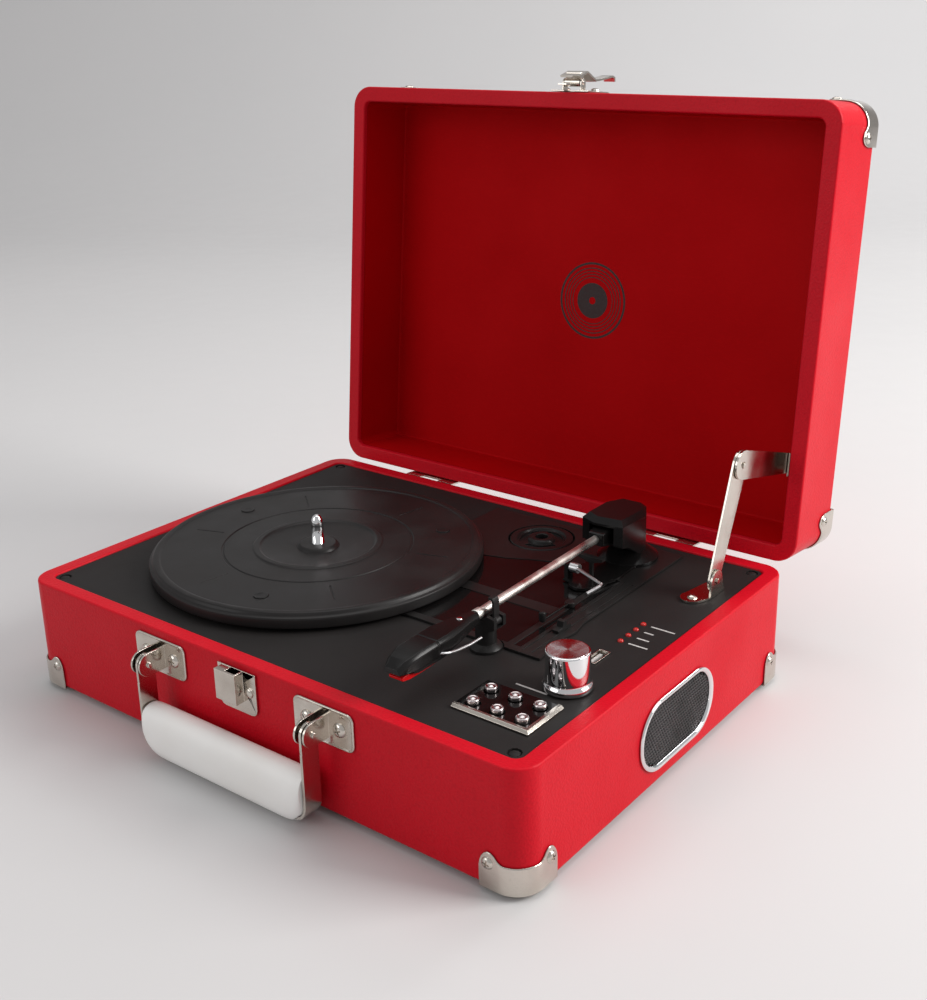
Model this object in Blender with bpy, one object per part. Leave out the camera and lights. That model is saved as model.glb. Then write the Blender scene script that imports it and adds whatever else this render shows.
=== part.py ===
"""Suitcase record player, modelled open, as separate pieces on their joint axes.

Pieces are drawn in the case frame: x to the right, y to the back, z up, with the origin at the
centre of the case's underside and the lid closed. Each piece hangs on an empty that stands on its
joint's axis. The lid's empty is turned open, and the case's empty sets the whole on its feet.
"""

import math

import bmesh
import bpy
from mathutils import Vector

MM = 0.001
GAP = 0.3

# case and lid
CASE_W = 350.0
CASE_D = 260.0
BASE_H = 63.5
LID_DEPTH = 49.4
SEAM = 0.6
CORNER_R = 13.5
WALL = 9.5
FOOT_H = 3.5
CASE_CENTRE_Y = -32.1
LID_OPEN_DEG = 95.6
HINGE_Y = 133.65
HINGE_Z = 58.7
HINGE_X = 93.0
LID_RIM = BASE_H + SEAM
LID_TOP = BASE_H + LID_DEPTH
LID_SKIN = 5.5

# deck
DECK_TOP = BASE_H - 1.0
DECK_THICK = 3.0
PLATE_TOP = DECK_TOP + 1.5
PLATTER_X = -57.5
PLATTER_Y = -12.0
PLATTER_R = 97.5
PLATTER_BOTTOM = DECK_TOP + 2.1
PLATTER_TOP = DECK_TOP + 11.0
DRUM_R = 74.0
PULLEY_R = 5.0
PULLEY_DISTANCE = 84.0
PULLEY_ANGLE = math.radians(135.0)
SPINDLE_R = 3.6
SPINDLE_TOP = DECK_TOP + 28.0
ADAPTER_X = 34.0
ADAPTER_Y = 87.0
ADAPTER_R = 19.4

# tonearm
ARM_X = 91.2
ARM_Y = 93.0
ARM_LIFT_Y = 80.0
ARM_LIFT_Z = 85.0
TUBE_R = 2.3
TUBE_BACK = (58.0, 86.8)
TUBE_FRONT = (-54.0, 84.2)
REST_X = 91.2
REST_Y = -45.0
LOCK_X = REST_X + 6.4

# controls
KNOB_X = 147.2
KNOB_Y = -54.7
KNOB_R = 11.1
BUTTON_R = 3.25
BUTTON_XS = (121.1, 135.1, 149.2)
BUTTON_YS = (-80.5, -94.7)
LED_X = 142.8
LED_YS = (0.6, 8.2, 15.9, 23.5)
USB_X = 142.5
USB_Y = -21.0
SELECTOR_X = 101.0
SELECTOR_Y = 17.0
CUE_X = 85.2
CUE_Y = 46.0
CUE_Z = 72.0
LIFT_Y = 53.5

# lid stay, pivots as (y, z) with the lid closed
STAY_X = 155.25
STAY_T = 1.4
STAY_BASE = (77.2, 71.2)
STAY_KNEE_OPEN = (102.3, 131.1)
STAY_LID_OPEN = (166.0, 114.0)

# front hardware
FRONT_Y = -CASE_D / 2
HANDLE_X = 59.0
HANDLE_PIN_Y = -141.3
HANDLE_PIN_Z = 49.5
GRIP_Z = 12.8
GRIP_HALF_Y = 9.2
GRIP_HALF_Z = 14.6
LATCH_PIN_Y = FRONT_Y - 6.0
LATCH_PIN_Z = LID_RIM + 6.0

# speakers, racetrack openings in both side walls
SPEAKER_Y = 3.5
SPEAKER_Z = 27.5
SPEAKER_L = 74.0
SPEAKER_H = 39.5

# dome screws of the corner protectors: from the corner, and up from the panel
SCREW_IN = 19.2
SCREW_RISE = 13.0

SIDES = ((-1, "left"), (1, "right"))
FRAMES = {}


# ---------------------------------------------------------------- materials


def material(name, colour, roughness, metallic=0.0):
    """One Principled BSDF material."""
    made = bpy.data.materials.get(name)
    if made:
        return made
    made = bpy.data.materials.new(name)
    made.use_nodes = True
    shader = made.node_tree.nodes["Principled BSDF"]
    shader.inputs["Base Color"].default_value = (*colour, 1.0)
    shader.inputs["Roughness"].default_value = roughness
    shader.inputs["Metallic"].default_value = metallic
    made.diffuse_color = (*colour, 1.0)
    return made


def leatherette():
    return material("leatherette", (0.42, 0.008, 0.016), 0.45)


def nickel():
    return material("nickel", (0.78, 0.75, 0.69), 0.25, 1.0)


def chrome():
    return material("chrome", (0.85, 0.85, 0.86), 0.08, 1.0)


def steel():
    return material("steel", (0.62, 0.62, 0.62), 0.35, 1.0)


def black_plastic():
    return material("black_plastic", (0.012, 0.012, 0.013), 0.35)


def gloss_black():
    return material("gloss_black", (0.008, 0.008, 0.009), 0.08)


def charcoal():
    return material("charcoal", (0.028, 0.027, 0.026), 0.6)


def rubber():
    return material("rubber", (0.02, 0.02, 0.02), 0.85)


def brass():
    return material("brass", (0.7, 0.5, 0.2), 0.3, 1.0)


def pale_grip():
    return material("pale_grip", (0.8, 0.76, 0.72), 0.5)


def board_green():
    return material("board_green", (0.02, 0.16, 0.06), 0.5)


def black_mesh():
    return material("black_mesh", (0.01, 0.01, 0.011), 0.5, 0.6)


# ---------------------------------------------------------------- frames and objects


def clear_scene():
    for old in list(bpy.data.objects):
        bpy.data.objects.remove(old, do_unlink=True)


def make_frame(name, point, parent=None):
    """An empty at a point of the case frame, given in millimetres."""
    empty = bpy.data.objects.new(name, None)
    bpy.context.scene.collection.objects.link(empty)
    home = Vector(point)
    FRAMES[name] = home
    if parent:
        empty.parent = parent
        empty.location = (home - FRAMES[parent.name]) * MM
    return empty


def add(name, bm, look, frame):
    """Turns a mesh drawn in the case frame, in millimetres, into an object on its frame."""
    bmesh.ops.recalc_face_normals(bm, faces=bm.faces[:])
    bmesh.ops.translate(bm, vec=-FRAMES[frame.name], verts=bm.verts[:])
    bmesh.ops.scale(bm, vec=(MM, MM, MM), verts=bm.verts[:])
    mesh = bpy.data.meshes.new(name)
    bm.to_mesh(mesh)
    bm.free()
    mesh.shade_smooth()
    mesh.set_sharp_from_angle(angle=math.radians(32.0))
    made = bpy.data.objects.new(name, mesh)
    bpy.context.scene.collection.objects.link(made)
    made.parent = frame
    made.data.materials.append(look)
    return made


def boolean(target, bm, operation="DIFFERENCE"):
    """Cuts or joins a hidden solid, drawn in the case frame, with an object."""
    cutter = add(f"{target.name}_tool_{len(target.modifiers)}", bm, charcoal(), target.parent)
    cutter.hide_render = True
    cutter.display_type = "WIRE"
    step = target.modifiers.new(operation.lower(), "BOOLEAN")
    step.operation = operation
    step.object = cutter
    step.solver = "EXACT"


# ---------------------------------------------------------------- drawing


def arc(cx, cy, r, start, end, steps):
    """Points on an arc, angles in degrees."""
    turn = [math.radians(start + (end - start) * i / steps) for i in range(steps + 1)]
    return [(cx + r * math.cos(a), cy + r * math.sin(a)) for a in turn]


def rounded(w, d, r, steps=6, cx=0.0, cy=0.0):
    """A rectangle with round corners, anticlockwise."""
    x = w / 2 - r
    y = d / 2 - r
    points = []
    for i, (sx, sy) in enumerate(((1, 1), (-1, 1), (-1, -1), (1, -1))):
        points += arc(cx + sx * x, cy + sy * y, r, 90 * i, 90 * i + 90, steps)
    return points


def racetrack(length, height, steps=10, cx=0.0, cy=0.0):
    """A rectangle whose short sides bulge as arcs, close to the shape of an oval speaker."""
    r = height / 2 * 0.96
    return rounded(length, height, r, steps // 2 + 1, cx, cy)


def loft(bm, loops, closed=False):
    """Skins a row of loops that have the same number of points."""
    rings = [[bm.verts.new(p) for p in loop] for loop in loops]
    count = len(rings[0])
    pairs = list(zip(rings, rings[1:]))
    if closed:
        pairs.append((rings[-1], rings[0]))
    for low, high in pairs:
        for i in range(count):
            j = (i + 1) % count
            bm.faces.new((low[i], low[j], high[j], high[i]))
    if not closed:
        bm.faces.new(list(reversed(rings[0])))
        bm.faces.new(rings[-1])


def spread(points, axis, value):
    """Lays 2D points on the plane that stands at a value along an axis."""
    if axis == "x":
        return [(value, a, b) for a, b in points]
    if axis == "y":
        return [(a, value, b) for a, b in points]
    return [(a, b, value) for a, b in points]


def prism(bm, points, axis, low, high):
    loft(bm, [spread(points, axis, low), spread(points, axis, high)])


def box(bm, low, high):
    corners = [(low[0], low[1]), (high[0], low[1]), (high[0], high[1]), (low[0], high[1])]
    prism(bm, corners, "z", low[2], high[2])


def turned(bm, profile, centre, axis="z", steps=24, closed=False):
    """Turns a profile of (radius, height) round an axis through the centre."""
    ca = {"x": (1, 2), "y": (0, 2), "z": (0, 1)}[axis]
    along = {"x": 0, "y": 1, "z": 2}[axis]
    rings = []
    for r, h in profile:
        ring = []
        for i in range(steps if r > 0 else 1):
            a = 2 * math.pi * i / steps
            p = list(centre)
            p[ca[0]] += r * math.cos(a)
            p[ca[1]] += r * math.sin(a)
            p[along] += h
            ring.append(bm.verts.new(p))
        rings.append(ring)
    pairs = list(zip(rings, rings[1:]))
    if closed:
        pairs.append((rings[-1], rings[0]))
    for low, high in pairs:
        for i in range(steps):
            j = (i + 1) % steps
            corners = [low[i % len(low)], low[j % len(low)], high[j % len(high)], high[i % len(high)]]
            corners = list(dict.fromkeys(corners))
            bm.faces.new(corners)
    if not closed:
        for ring, first in ((rings[0], True), (rings[-1], False)):
            if len(ring) > 1:
                bm.faces.new(list(reversed(ring)) if first else ring)


def rod(bm, centre, axis, low, high, r, steps=16):
    turned(bm, [(r, low), (r, high)], centre, axis, steps)


def tube(bm, points, r, steps=8):
    """A round bar along a path of points."""
    path = [Vector(p) for p in points]
    side = None
    loops = []
    for i, p in enumerate(path):
        ahead = (path[min(i + 1, len(path) - 1)] - path[max(i - 1, 0)]).normalized()
        if side is None:
            side = ahead.orthogonal().normalized()
        side = (side - ahead * side.dot(ahead)).normalized()
        up = ahead.cross(side)
        ring = []
        for k in range(steps):
            a = 2 * math.pi * k / steps
            ring.append(p + side * (r * math.cos(a)) + up * (r * math.sin(a)))
        loops.append(ring)
    loft(bm, loops)


def strip(points, thick):
    """The outline of a bent sheet, drawn as its middle line and its thickness."""
    path = [Vector(p) for p in points]
    left = []
    right = []
    for i, p in enumerate(path):
        back = (p - path[i - 1]).normalized() if i else None
        ahead = (path[i + 1] - p).normalized() if i + 1 < len(path) else None
        if back is None:
            back = ahead
        if ahead is None:
            ahead = back
        normal = Vector((-back.y - ahead.y, back.x + ahead.x)).normalized()
        reach = thick / 2 / max(0.3, normal.dot(Vector((-back.y, back.x))))
        left.append(tuple(p + normal * reach))
        right.append(tuple(p - normal * reach))
    return right + left[::-1]


def capsule(a, b, ra, rb, steps=7, end_steps=7):
    """The outline of two circles joined by their outer tangents."""
    ax, ay = a
    bx, by = b
    span = math.hypot(bx - ax, by - ay)
    heading = math.atan2(by - ay, bx - ax)
    lean = math.acos((ra - rb) / span)
    start = math.degrees(heading + lean)
    end = math.degrees(heading - lean) + 360
    return arc(ax, ay, ra, start, end, steps) + arc(bx, by, rb, end - 360, start, end_steps)


def dome_head(bm, centre, axis, sign, r=3.2, h=1.7):
    """A dome screw head that looks along an axis, to the side of the sign."""
    profile = [(r, 0.0), (r * 0.9, h * 0.6), (r * 0.5, h * 0.93), (0, h)]
    turned(bm, [(a, sign * b) for a, b in profile], centre, axis, 8)


def opened(point):
    """Where a (y, z) point of the open lid lies with the lid closed."""
    a = math.radians(LID_OPEN_DEG)
    y = point[0] - HINGE_Y
    z = point[1] - HINGE_Z
    return (HINGE_Y + y * math.cos(a) - z * math.sin(a), HINGE_Z + y * math.sin(a) + z * math.cos(a))


# ---------------------------------------------------------------- case


def base_case(frame):
    """The box's four walls with a ledge that carries the deck."""
    inner_w = CASE_W - 2 * WALL
    inner_d = CASE_D - 2 * WALL
    rows = [
        (CASE_W - 1.2, CASE_D - 1.2, CORNER_R, 0.0),
        (CASE_W, CASE_D, CORNER_R, 0.8),
        (CASE_W, CASE_D, CORNER_R, BASE_H - 1.6),
        (CASE_W - 0.9, CASE_D - 0.9, CORNER_R, BASE_H - 0.5),
        (CASE_W - 3.0, CASE_D - 3.0, CORNER_R - 1.5, BASE_H),
        (inner_w + 1.2, inner_d + 1.2, 5.0, BASE_H),
        (inner_w, inner_d, 4.6, BASE_H - 0.6),
        (inner_w, inner_d, 4.6, DECK_TOP - DECK_THICK - GAP),
        (inner_w - 10, inner_d - 10, 4.6, DECK_TOP - DECK_THICK - GAP),
        (inner_w - 10, inner_d - 10, 4.6, DECK_TOP - DECK_THICK - 9),
        (inner_w, inner_d, 4.6, DECK_TOP - DECK_THICK - 9),
        (inner_w, inner_d, 4.6, 0.0),
    ]
    bm = bmesh.new()
    loft(bm, [spread(rounded(w, d, r), "z", z) for w, d, r, z in rows], closed=True)
    case = add("base_case", bm, leatherette(), frame)
    cut = bmesh.new()
    outline = racetrack(SPEAKER_L - 5.0, SPEAKER_H - 5.0, cx=SPEAKER_Y, cy=SPEAKER_Z)
    for side in (-1, 1):
        prism(cut, outline, "x", side * (CASE_W / 2 + 4), side * (CASE_W / 2 - WALL - 4))
    box(cut, (-36, CASE_D / 2 - WALL - 4, 17), (36, CASE_D / 2 + 4, 35))
    boolean(case, cut)


def bottom_panel(frame):
    """The board that closes the case from below, on four round rubber feet."""
    bm = bmesh.new()
    w = CASE_W - 2 * (WALL + GAP)
    d = CASE_D - 2 * (WALL + GAP)
    prism(bm, rounded(w, d, 4.3), "z", 0.5, 4.0)
    panel = add("bottom_panel", bm, leatherette(), frame)
    feet = bmesh.new()
    profile = [(8.0, -FOOT_H), (9.2, -FOOT_H + 1.0), (9.6, 2.0)]
    for x in (-142, 142):
        for y in (-100, 100):
            turned(feet, profile, (x, y, 0), "z", 14)
    boolean(panel, feet, "UNION")


def corner_path(offset, steps=14):
    """Plan points round one vertical corner of the case, pushed outward by an offset."""
    reach = 24.0
    cx = CASE_W / 2 - CORNER_R
    cy = -CASE_D / 2 + CORNER_R
    r = CORNER_R + offset
    first = [(CASE_W / 2 - reach + s, -CASE_D / 2 - offset) for s in (0.0, 1.2, 3.0, 6.0, 8.6)]
    last = [(CASE_W / 2 + offset, -CASE_D / 2 + reach - s) for s in (8.6, 6.0, 3.0, 1.2, 0.0)]
    return first + arc(cx, cy, r, -90, 0, steps - 6) + last


def ear_height(i, count):
    """Height of a protector at one of its stations: two round ears and a dip between them."""
    edge = min(i, count - 1 - i)
    rise = {0: 10.5, 1: 15.0, 2: 17.6, 3: 18.4, 4: 16.6}
    return rise.get(edge, 14.4)


def corner_protector(name, frame, sx, sy, z0, up):
    """A pressed corner: a wall round the vertical corner, a lip under the panel, two screws."""
    outer = corner_path(GAP + 0.9)
    inner = corner_path(GAP)
    lip = corner_path(-5.0)
    loops = []
    for i, (o, n, p) in enumerate(zip(outer, inner, lip)):
        h = ear_height(i, len(outer))
        ring = [(*o, h), (*o, -GAP - 0.9), (*p, -GAP - 0.9), (*p, -GAP), (*n, -GAP), (*n, h)]
        loops.append([(sx * x, -sy * y, z0 + up * z) for x, y, z in ring])
    bm = bmesh.new()
    loft(bm, loops)
    protector = add(name, bm, nickel(), frame)
    heads = bmesh.new()
    face = GAP + 0.7
    z = z0 + up * SCREW_RISE
    dome_head(heads, (sx * (CASE_W / 2 - SCREW_IN), sy * (CASE_D / 2 + face), z), "y", sy)
    dome_head(heads, (sx * (CASE_W / 2 + face), sy * (CASE_D / 2 - SCREW_IN), z), "x", sx)
    boolean(protector, heads, "UNION")


def corner_protectors(part, frame, z0, up):
    for sx, side in SIDES:
        for sy, end in ((-1, "front"), (1, "back")):
            corner_protector(f"{part}_corner_{end}_{side}", frame, sx, sy, z0, up)


def deck_panel(frame):
    """The deck, with its openings for everything that comes up through it."""
    bm = bmesh.new()
    w = CASE_W - 2 * (WALL + GAP)
    d = CASE_D - 2 * (WALL + GAP)
    low = DECK_TOP - DECK_THICK
    prism(bm, rounded(w, d, 4.3), "z", low, DECK_TOP)
    deck = add("deck_panel", bm, charcoal(), frame)
    cut = bmesh.new()
    rod(cut, (PLATTER_X, PLATTER_Y, 0), "z", low - 2, DECK_TOP + 2, 6.0, 16)
    mx, my = pulley_centre()
    rod(cut, (mx, my, 0), "z", low - 2, DECK_TOP + 2, 7.0, 14)
    rod(cut, (ARM_X, ARM_Y, 0), "z", low - 2, DECK_TOP + 2, 6.0, 16)
    rod(cut, (ARM_X, LIFT_Y, 0), "z", low - 2, DECK_TOP + 2, 1.9, 10)
    rod(cut, (KNOB_X, KNOB_Y, 0), "z", low - 2, DECK_TOP + 2, 3.6, 12)
    for x in BUTTON_XS:
        for y in BUTTON_YS:
            rod(cut, (x, y, 0), "z", low - 2, DECK_TOP + 2, BUTTON_R + 0.5, 10)
    for y in LED_YS:
        rod(cut, (LED_X, y, 0), "z", low - 2, DECK_TOP + 2, 1.8, 8)
    box(cut, (USB_X - 3.6, USB_Y - 7.6, low - 2), (USB_X + 3.6, USB_Y + 7.6, DECK_TOP + 2))
    rod(cut, (ADAPTER_X, ADAPTER_Y, 0), "z", DECK_TOP - 2.0, DECK_TOP + 2, ADAPTER_R + 1.0, 24)
    for x in (-160, 160):
        for y in (-115.5, 115.5):
            rod(cut, (x, y, 0), "z", DECK_TOP - 1.4, DECK_TOP + 2, 3.6, 10)
    boolean(deck, cut)
    heads = bmesh.new()
    for x in (-160, 160):
        for y in (-115.5, 115.5):
            dome_head(heads, (x, y, DECK_TOP - 1.6), "z", 1, 3.0, 1.8)
    boolean(deck, heads, "UNION")


def mechanism_plate(frame):
    """The raised plate under the tonearm, with a hole for the adapter and one for the rest."""
    edge = [
        (-18, -41), (121.5, -41), (118.5, -16), (120, -6), (117.6, 5), (117.6, 112), (-18, 112),
    ]
    bm = bmesh.new()
    prism(bm, edge, "z", DECK_TOP + GAP, PLATE_TOP)
    plate = add("mechanism_plate", bm, gloss_black(), frame)
    cut = bmesh.new()
    low = DECK_TOP - 1
    high = PLATE_TOP + 1
    rod(cut, (ADAPTER_X, ADAPTER_Y, 0), "z", low, high, ADAPTER_R + 1.0, 24)
    rod(cut, (REST_X, REST_Y, 0), "z", low, high, 9.2, 16)
    rod(cut, (ARM_X, ARM_Y, 0), "z", low, high, 6.0, 16)
    rod(cut, (ARM_X, LIFT_Y, 0), "z", low, high, 1.9, 10)
    boolean(plate, cut)


def spindle(frame):
    """The fixed spindle, in a flanged bearing tube that hangs from the deck."""
    low = DECK_TOP - DECK_THICK - GAP
    profile = [
        (7.0, low - 24), (7.0, low - 2.4), (12.0, low - 2.4), (12.0, low), (5.4, low),
        (5.4, PLATTER_BOTTOM - 0.4), (SPINDLE_R, PLATTER_BOTTOM - 0.4), (SPINDLE_R, SPINDLE_TOP - 5),
        (SPINDLE_R * 0.9, SPINDLE_TOP - 2.4), (SPINDLE_R * 0.55, SPINDLE_TOP - 0.6), (0, SPINDLE_TOP),
    ]
    bm = bmesh.new()
    turned(bm, profile, (PLATTER_X, PLATTER_Y, 0), "z", 16)
    add("spindle", bm, chrome(), frame)


def platter(frame):
    """The turned platter: skirt, belt drum, ribbed top and a dished centre."""
    b = PLATTER_BOTTOM
    t = PLATTER_TOP
    under = t - 3.4
    profile = [
        (SPINDLE_R + GAP, b + 0.2), (9.0, b + 0.2), (9.0, under),
        (DRUM_R - 4, under), (DRUM_R - 4, b + 0.6),
        (DRUM_R, b + 0.6), (DRUM_R, under), (PLATTER_R - 4, under), (PLATTER_R - 4, b),
        (PLATTER_R - 1.2, b), (PLATTER_R, b + 1.0), (PLATTER_R, t - 2.2), (PLATTER_R - 1.4, t),
        (PLATTER_R - 6, t), (PLATTER_R - 7, t - 0.8),
        (38.5, t - 0.8), (37.5, t), (34.5, t), (31.0, t - 0.9),
        (13.0, t - 2.2), (11.0, t - 0.2), (SPINDLE_R + GAP, t - 0.2),
    ]
    bm = bmesh.new()
    turned(bm, profile, (PLATTER_X, PLATTER_Y, 0), "z", 40, closed=True)
    add("platter", bm, black_plastic(), frame)


def pulley_centre():
    x = PLATTER_X + PULLEY_DISTANCE * math.cos(PULLEY_ANGLE)
    y = PLATTER_Y + PULLEY_DISTANCE * math.sin(PULLEY_ANGLE)
    return x, y


def motor(frame):
    """A round motor can under the deck, drilled for its shaft."""
    x, y = pulley_centre()
    top = DECK_TOP - DECK_THICK - GAP
    bm = bmesh.new()
    turned(bm, [(15.0, top), (16.0, top - 1), (16.0, top - 26), (15.0, top - 27)], (x, y, 0), "z", 20)
    body = add("motor", bm, steel(), frame)
    cut = bmesh.new()
    rod(cut, (x, y, 0), "z", top - 12, top + 2, 1.5, 10)
    boolean(body, cut)


def motor_pulley(frame):
    x, y = pulley_centre()
    b = PLATTER_BOTTOM + 0.6
    shaft = DECK_TOP - DECK_THICK - 10
    profile = [
        (1.0, shaft), (1.0, b), (PULLEY_R + 1, b), (PULLEY_R, b + 0.7), (PULLEY_R, b + 4.1),
        (PULLEY_R + 1, b + 4.6), (0.8, b + 4.6),
    ]
    bm = bmesh.new()
    turned(bm, profile, (x, y, 0), "z", 16)
    add("motor_pulley", bm, brass(), frame)


def drive_belt(frame):
    """A flat band round the platter's drum and the motor pulley."""
    mx, my = pulley_centre()
    loops = []
    low = PLATTER_BOTTOM + 1.7
    high = PLATTER_BOTTOM + 4.4
    for extra, z in ((GAP, low), (GAP + 0.8, low), (GAP + 0.8, high), (GAP, high)):
        outline = capsule((PLATTER_X, PLATTER_Y), (mx, my), DRUM_R + extra, PULLEY_R + extra, 36, 5)
        loops.append(spread(outline, "z", z))
    bm = bmesh.new()
    loft(bm, loops, closed=True)
    add("drive_belt", bm, rubber(), frame)


def adapter_45(frame):
    b = DECK_TOP - 1.7
    r = ADAPTER_R
    profile = [
        (3.9, b), (r - 1, b), (r, b + 0.8), (r, b + 2.6), (r - 1.4, b + 3.4), (r - 4, b + 3.4),
        (r - 5, b + 2.0), (8.6, b + 2.0), (8.0, b + 3.6), (6.4, b + 4.2), (3.9, b + 4.2),
    ]
    bm = bmesh.new()
    turned(bm, profile, (ADAPTER_X, ADAPTER_Y, 0), "z", 24, closed=True)
    add("adapter_45", bm, black_plastic(), frame)


# ---------------------------------------------------------------- tonearm


def tonearm_base(frame):
    """A low cone with a tongue that runs forward under the arm."""
    z = PLATE_TOP + GAP
    profile = [
        (5.4, z), (18.0, z), (18.0, z + 1.6), (11.5, z + 6.6), (9.0, z + 7.6), (5.4, z + 7.6),
    ]
    bm = bmesh.new()
    turned(bm, profile, (ARM_X, ARM_Y, 0), "z", 20, closed=True)
    base = add("tonearm_base", bm, black_plastic(), frame)
    tongue = bmesh.new()
    outline = capsule((ARM_X, ARM_Y - 30), (ARM_X + 1, ARM_Y - 50), 14.0, 8.0, 8)
    prism(tongue, outline, "z", z, z + 1.5)
    boolean(base, tongue, "UNION")
    neck = bmesh.new()
    box(neck, (ARM_X - 13, ARM_Y - 32, z), (ARM_X + 13, ARM_Y - 10, z + 1.5))
    boolean(base, neck, "UNION")
    stand = bmesh.new()
    box(stand, (CUE_X - 5.6, CUE_Y - 4, z), (CUE_X + 1, CUE_Y + 4, z + 1.5))
    boolean(base, stand, "UNION")
    pin = bmesh.new()
    box(pin, (CUE_X - 5.6, CUE_Y - 2.6, z + 1), (CUE_X - 3.2, CUE_Y + 2.6, CUE_Z + 2.4))
    boolean(base, pin, "UNION")
    pin = bmesh.new()
    rod(pin, (CUE_X, CUE_Y, CUE_Z), "x", -4, 3.2, 1.0, 10)
    boolean(base, pin, "UNION")
    hole = bmesh.new()
    rod(hole, (ARM_X, LIFT_Y, 0), "z", z - 2, z + 4, 1.9, 10)
    boolean(base, hole)


def arm_housing(frame):
    """The faceted cover that turns on the base, open below and in front for the arm's bracket."""
    top = DECK_TOP + 35.0
    back_floor = DECK_TOP + 11.0
    plan = [(77, 66), (87, 62), (105, 64), (106, 88), (99, 100), (83, 100), (76.5, 88)]
    inset = [(80, 69), (88, 65), (102, 67), (103, 87), (97, 97), (85, 97), (80, 87)]
    bm = bmesh.new()
    loft(bm, [spread(plan, "z", back_floor), spread(plan, "z", top - 3), spread(inset, "z", top)])
    cover = add("arm_housing", bm, black_plastic(), frame)
    under = bmesh.new()
    side = [(50, back_floor - 2), (50, top - 4.5), (86, top - 4.5), (86, back_floor - 2)]
    prism(under, side, "x", ARM_X - 8, ARM_X + 8)
    boolean(cover, under)
    slope = bmesh.new()
    wedge = [(50, back_floor - 2), (50, back_floor + 12), (70, back_floor + 7), (84, back_floor - 2)]
    prism(slope, wedge, "x", ARM_X - 30, ARM_X + 30)
    boolean(cover, slope)
    spigot = bmesh.new()
    profile = [(5.0, DECK_TOP - 4), (5.0, back_floor - 1.0), (8.5, back_floor - 1.0), (8.5, back_floor + 2)]
    turned(spigot, profile, (ARM_X, ARM_Y, 0), "z", 20)
    boolean(cover, spigot, "UNION")
    pin = bmesh.new()
    rod(pin, (ARM_X, ARM_LIFT_Y, ARM_LIFT_Z), "x", -12, 12, 1.5, 12)
    boolean(cover, pin, "UNION")


def tube_height(y):
    """Height of the tube's middle line at a distance y."""
    back_y, back_z = TUBE_BACK
    front_y, front_z = TUBE_FRONT
    return front_z + (y - front_y) * (back_z - front_z) / (back_y - front_y)


def tonearm_tube(frame):
    """The tube, in a cradle that turns on the housing's pin."""
    back_y = TUBE_BACK[0]
    front_y = TUBE_FRONT[0]
    stations = [(back_y + 6, TUBE_R), (front_y + 3.4, TUBE_R), (front_y + 3.2, 2.9), (front_y, 2.9)]
    loops = []
    for y, r in stations:
        z = tube_height(y)
        loops.append([(ARM_X + a, y, z + b) for a, b in arc(0, 0, r, 0, 337.5, 15)])
    bm = bmesh.new()
    loft(bm, loops)
    tube_piece = add("tonearm_tube", bm, chrome(), frame)
    side = [
        (57.5, 83.0), (57.5, 90.4), (62, 91.4), (80, 91.0),
        (84.0, 88.0), (84.0, 82.0), (80, 79.5), (68, 80.5),
    ]
    cradle = bmesh.new()
    prism(cradle, side, "x", ARM_X - 5, ARM_X + 5)
    boolean(tube_piece, cradle, "UNION")
    cut = bmesh.new()
    rod(cut, (ARM_X, ARM_LIFT_Y, ARM_LIFT_Z), "x", -8, 8, 1.9, 12)
    boolean(tube_piece, cut)


def headshell(frame):
    """A tapered black shell, and the finger lift on its right side."""
    stations = [
        (-54.4, 3.6, 86.6, 81.2), (-62, 4.4, 87.2, 80.6), (-72, 6.6, 87.6, 80.2), (-82, 8.0, 87.8, 79.6),
        (-104, 8.0, 87.4, 79.6), (-112, 6.6, 85.6, 79.6), (-117, 5.0, 82.6, 79.8),
    ]
    loops = []
    for y, w, top, low in stations:
        ring = [(-w, low), (w, low), (w, top - 1.6), (w - 2.0, top), (2.0 - w, top), (-w, top - 1.6)]
        loops.append([(ARM_X + a, y, b) for a, b in ring])
    bm = bmesh.new()
    loft(bm, loops)
    shell = add("headshell", bm, black_plastic(), frame)
    lift = bmesh.new()
    path = [
        (ARM_X + 6, -92, 81.4), (ARM_X + 9.4, -87, 80.5),
        (ARM_X + 9.6, -80, 79.0), (ARM_X + 9.2, -70, 77.6),
        (ARM_X + 9.0, -60, 77.4),
    ]
    tube(lift, path, 0.8, 8)
    boolean(shell, lift, "UNION")


def cartridge(frame):
    """The cartridge under the shell, with its red stylus holder clipped on."""
    bm = bmesh.new()
    side = [(-82, 79.3), (-82, 77.0), (-86, 76.3), (-106, 76.3), (-108, 77.4), (-108, 79.3)]
    prism(bm, side, "x", ARM_X - 6, ARM_X + 6)
    body = add("cartridge", bm, black_plastic(), frame)
    holder = bmesh.new()
    side = [
        (-84, 76.6), (-86, 74.9), (-100, 74.4), (-109, 74.4), (-114, 75.4), (-114.5, 77.2), (-112, 77.9),
        (-108.6, 77.2), (-106, 76.8),
    ]
    prism(holder, side, "x", ARM_X - 4.2, ARM_X + 4.2)
    boolean(body, holder, "UNION")


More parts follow.
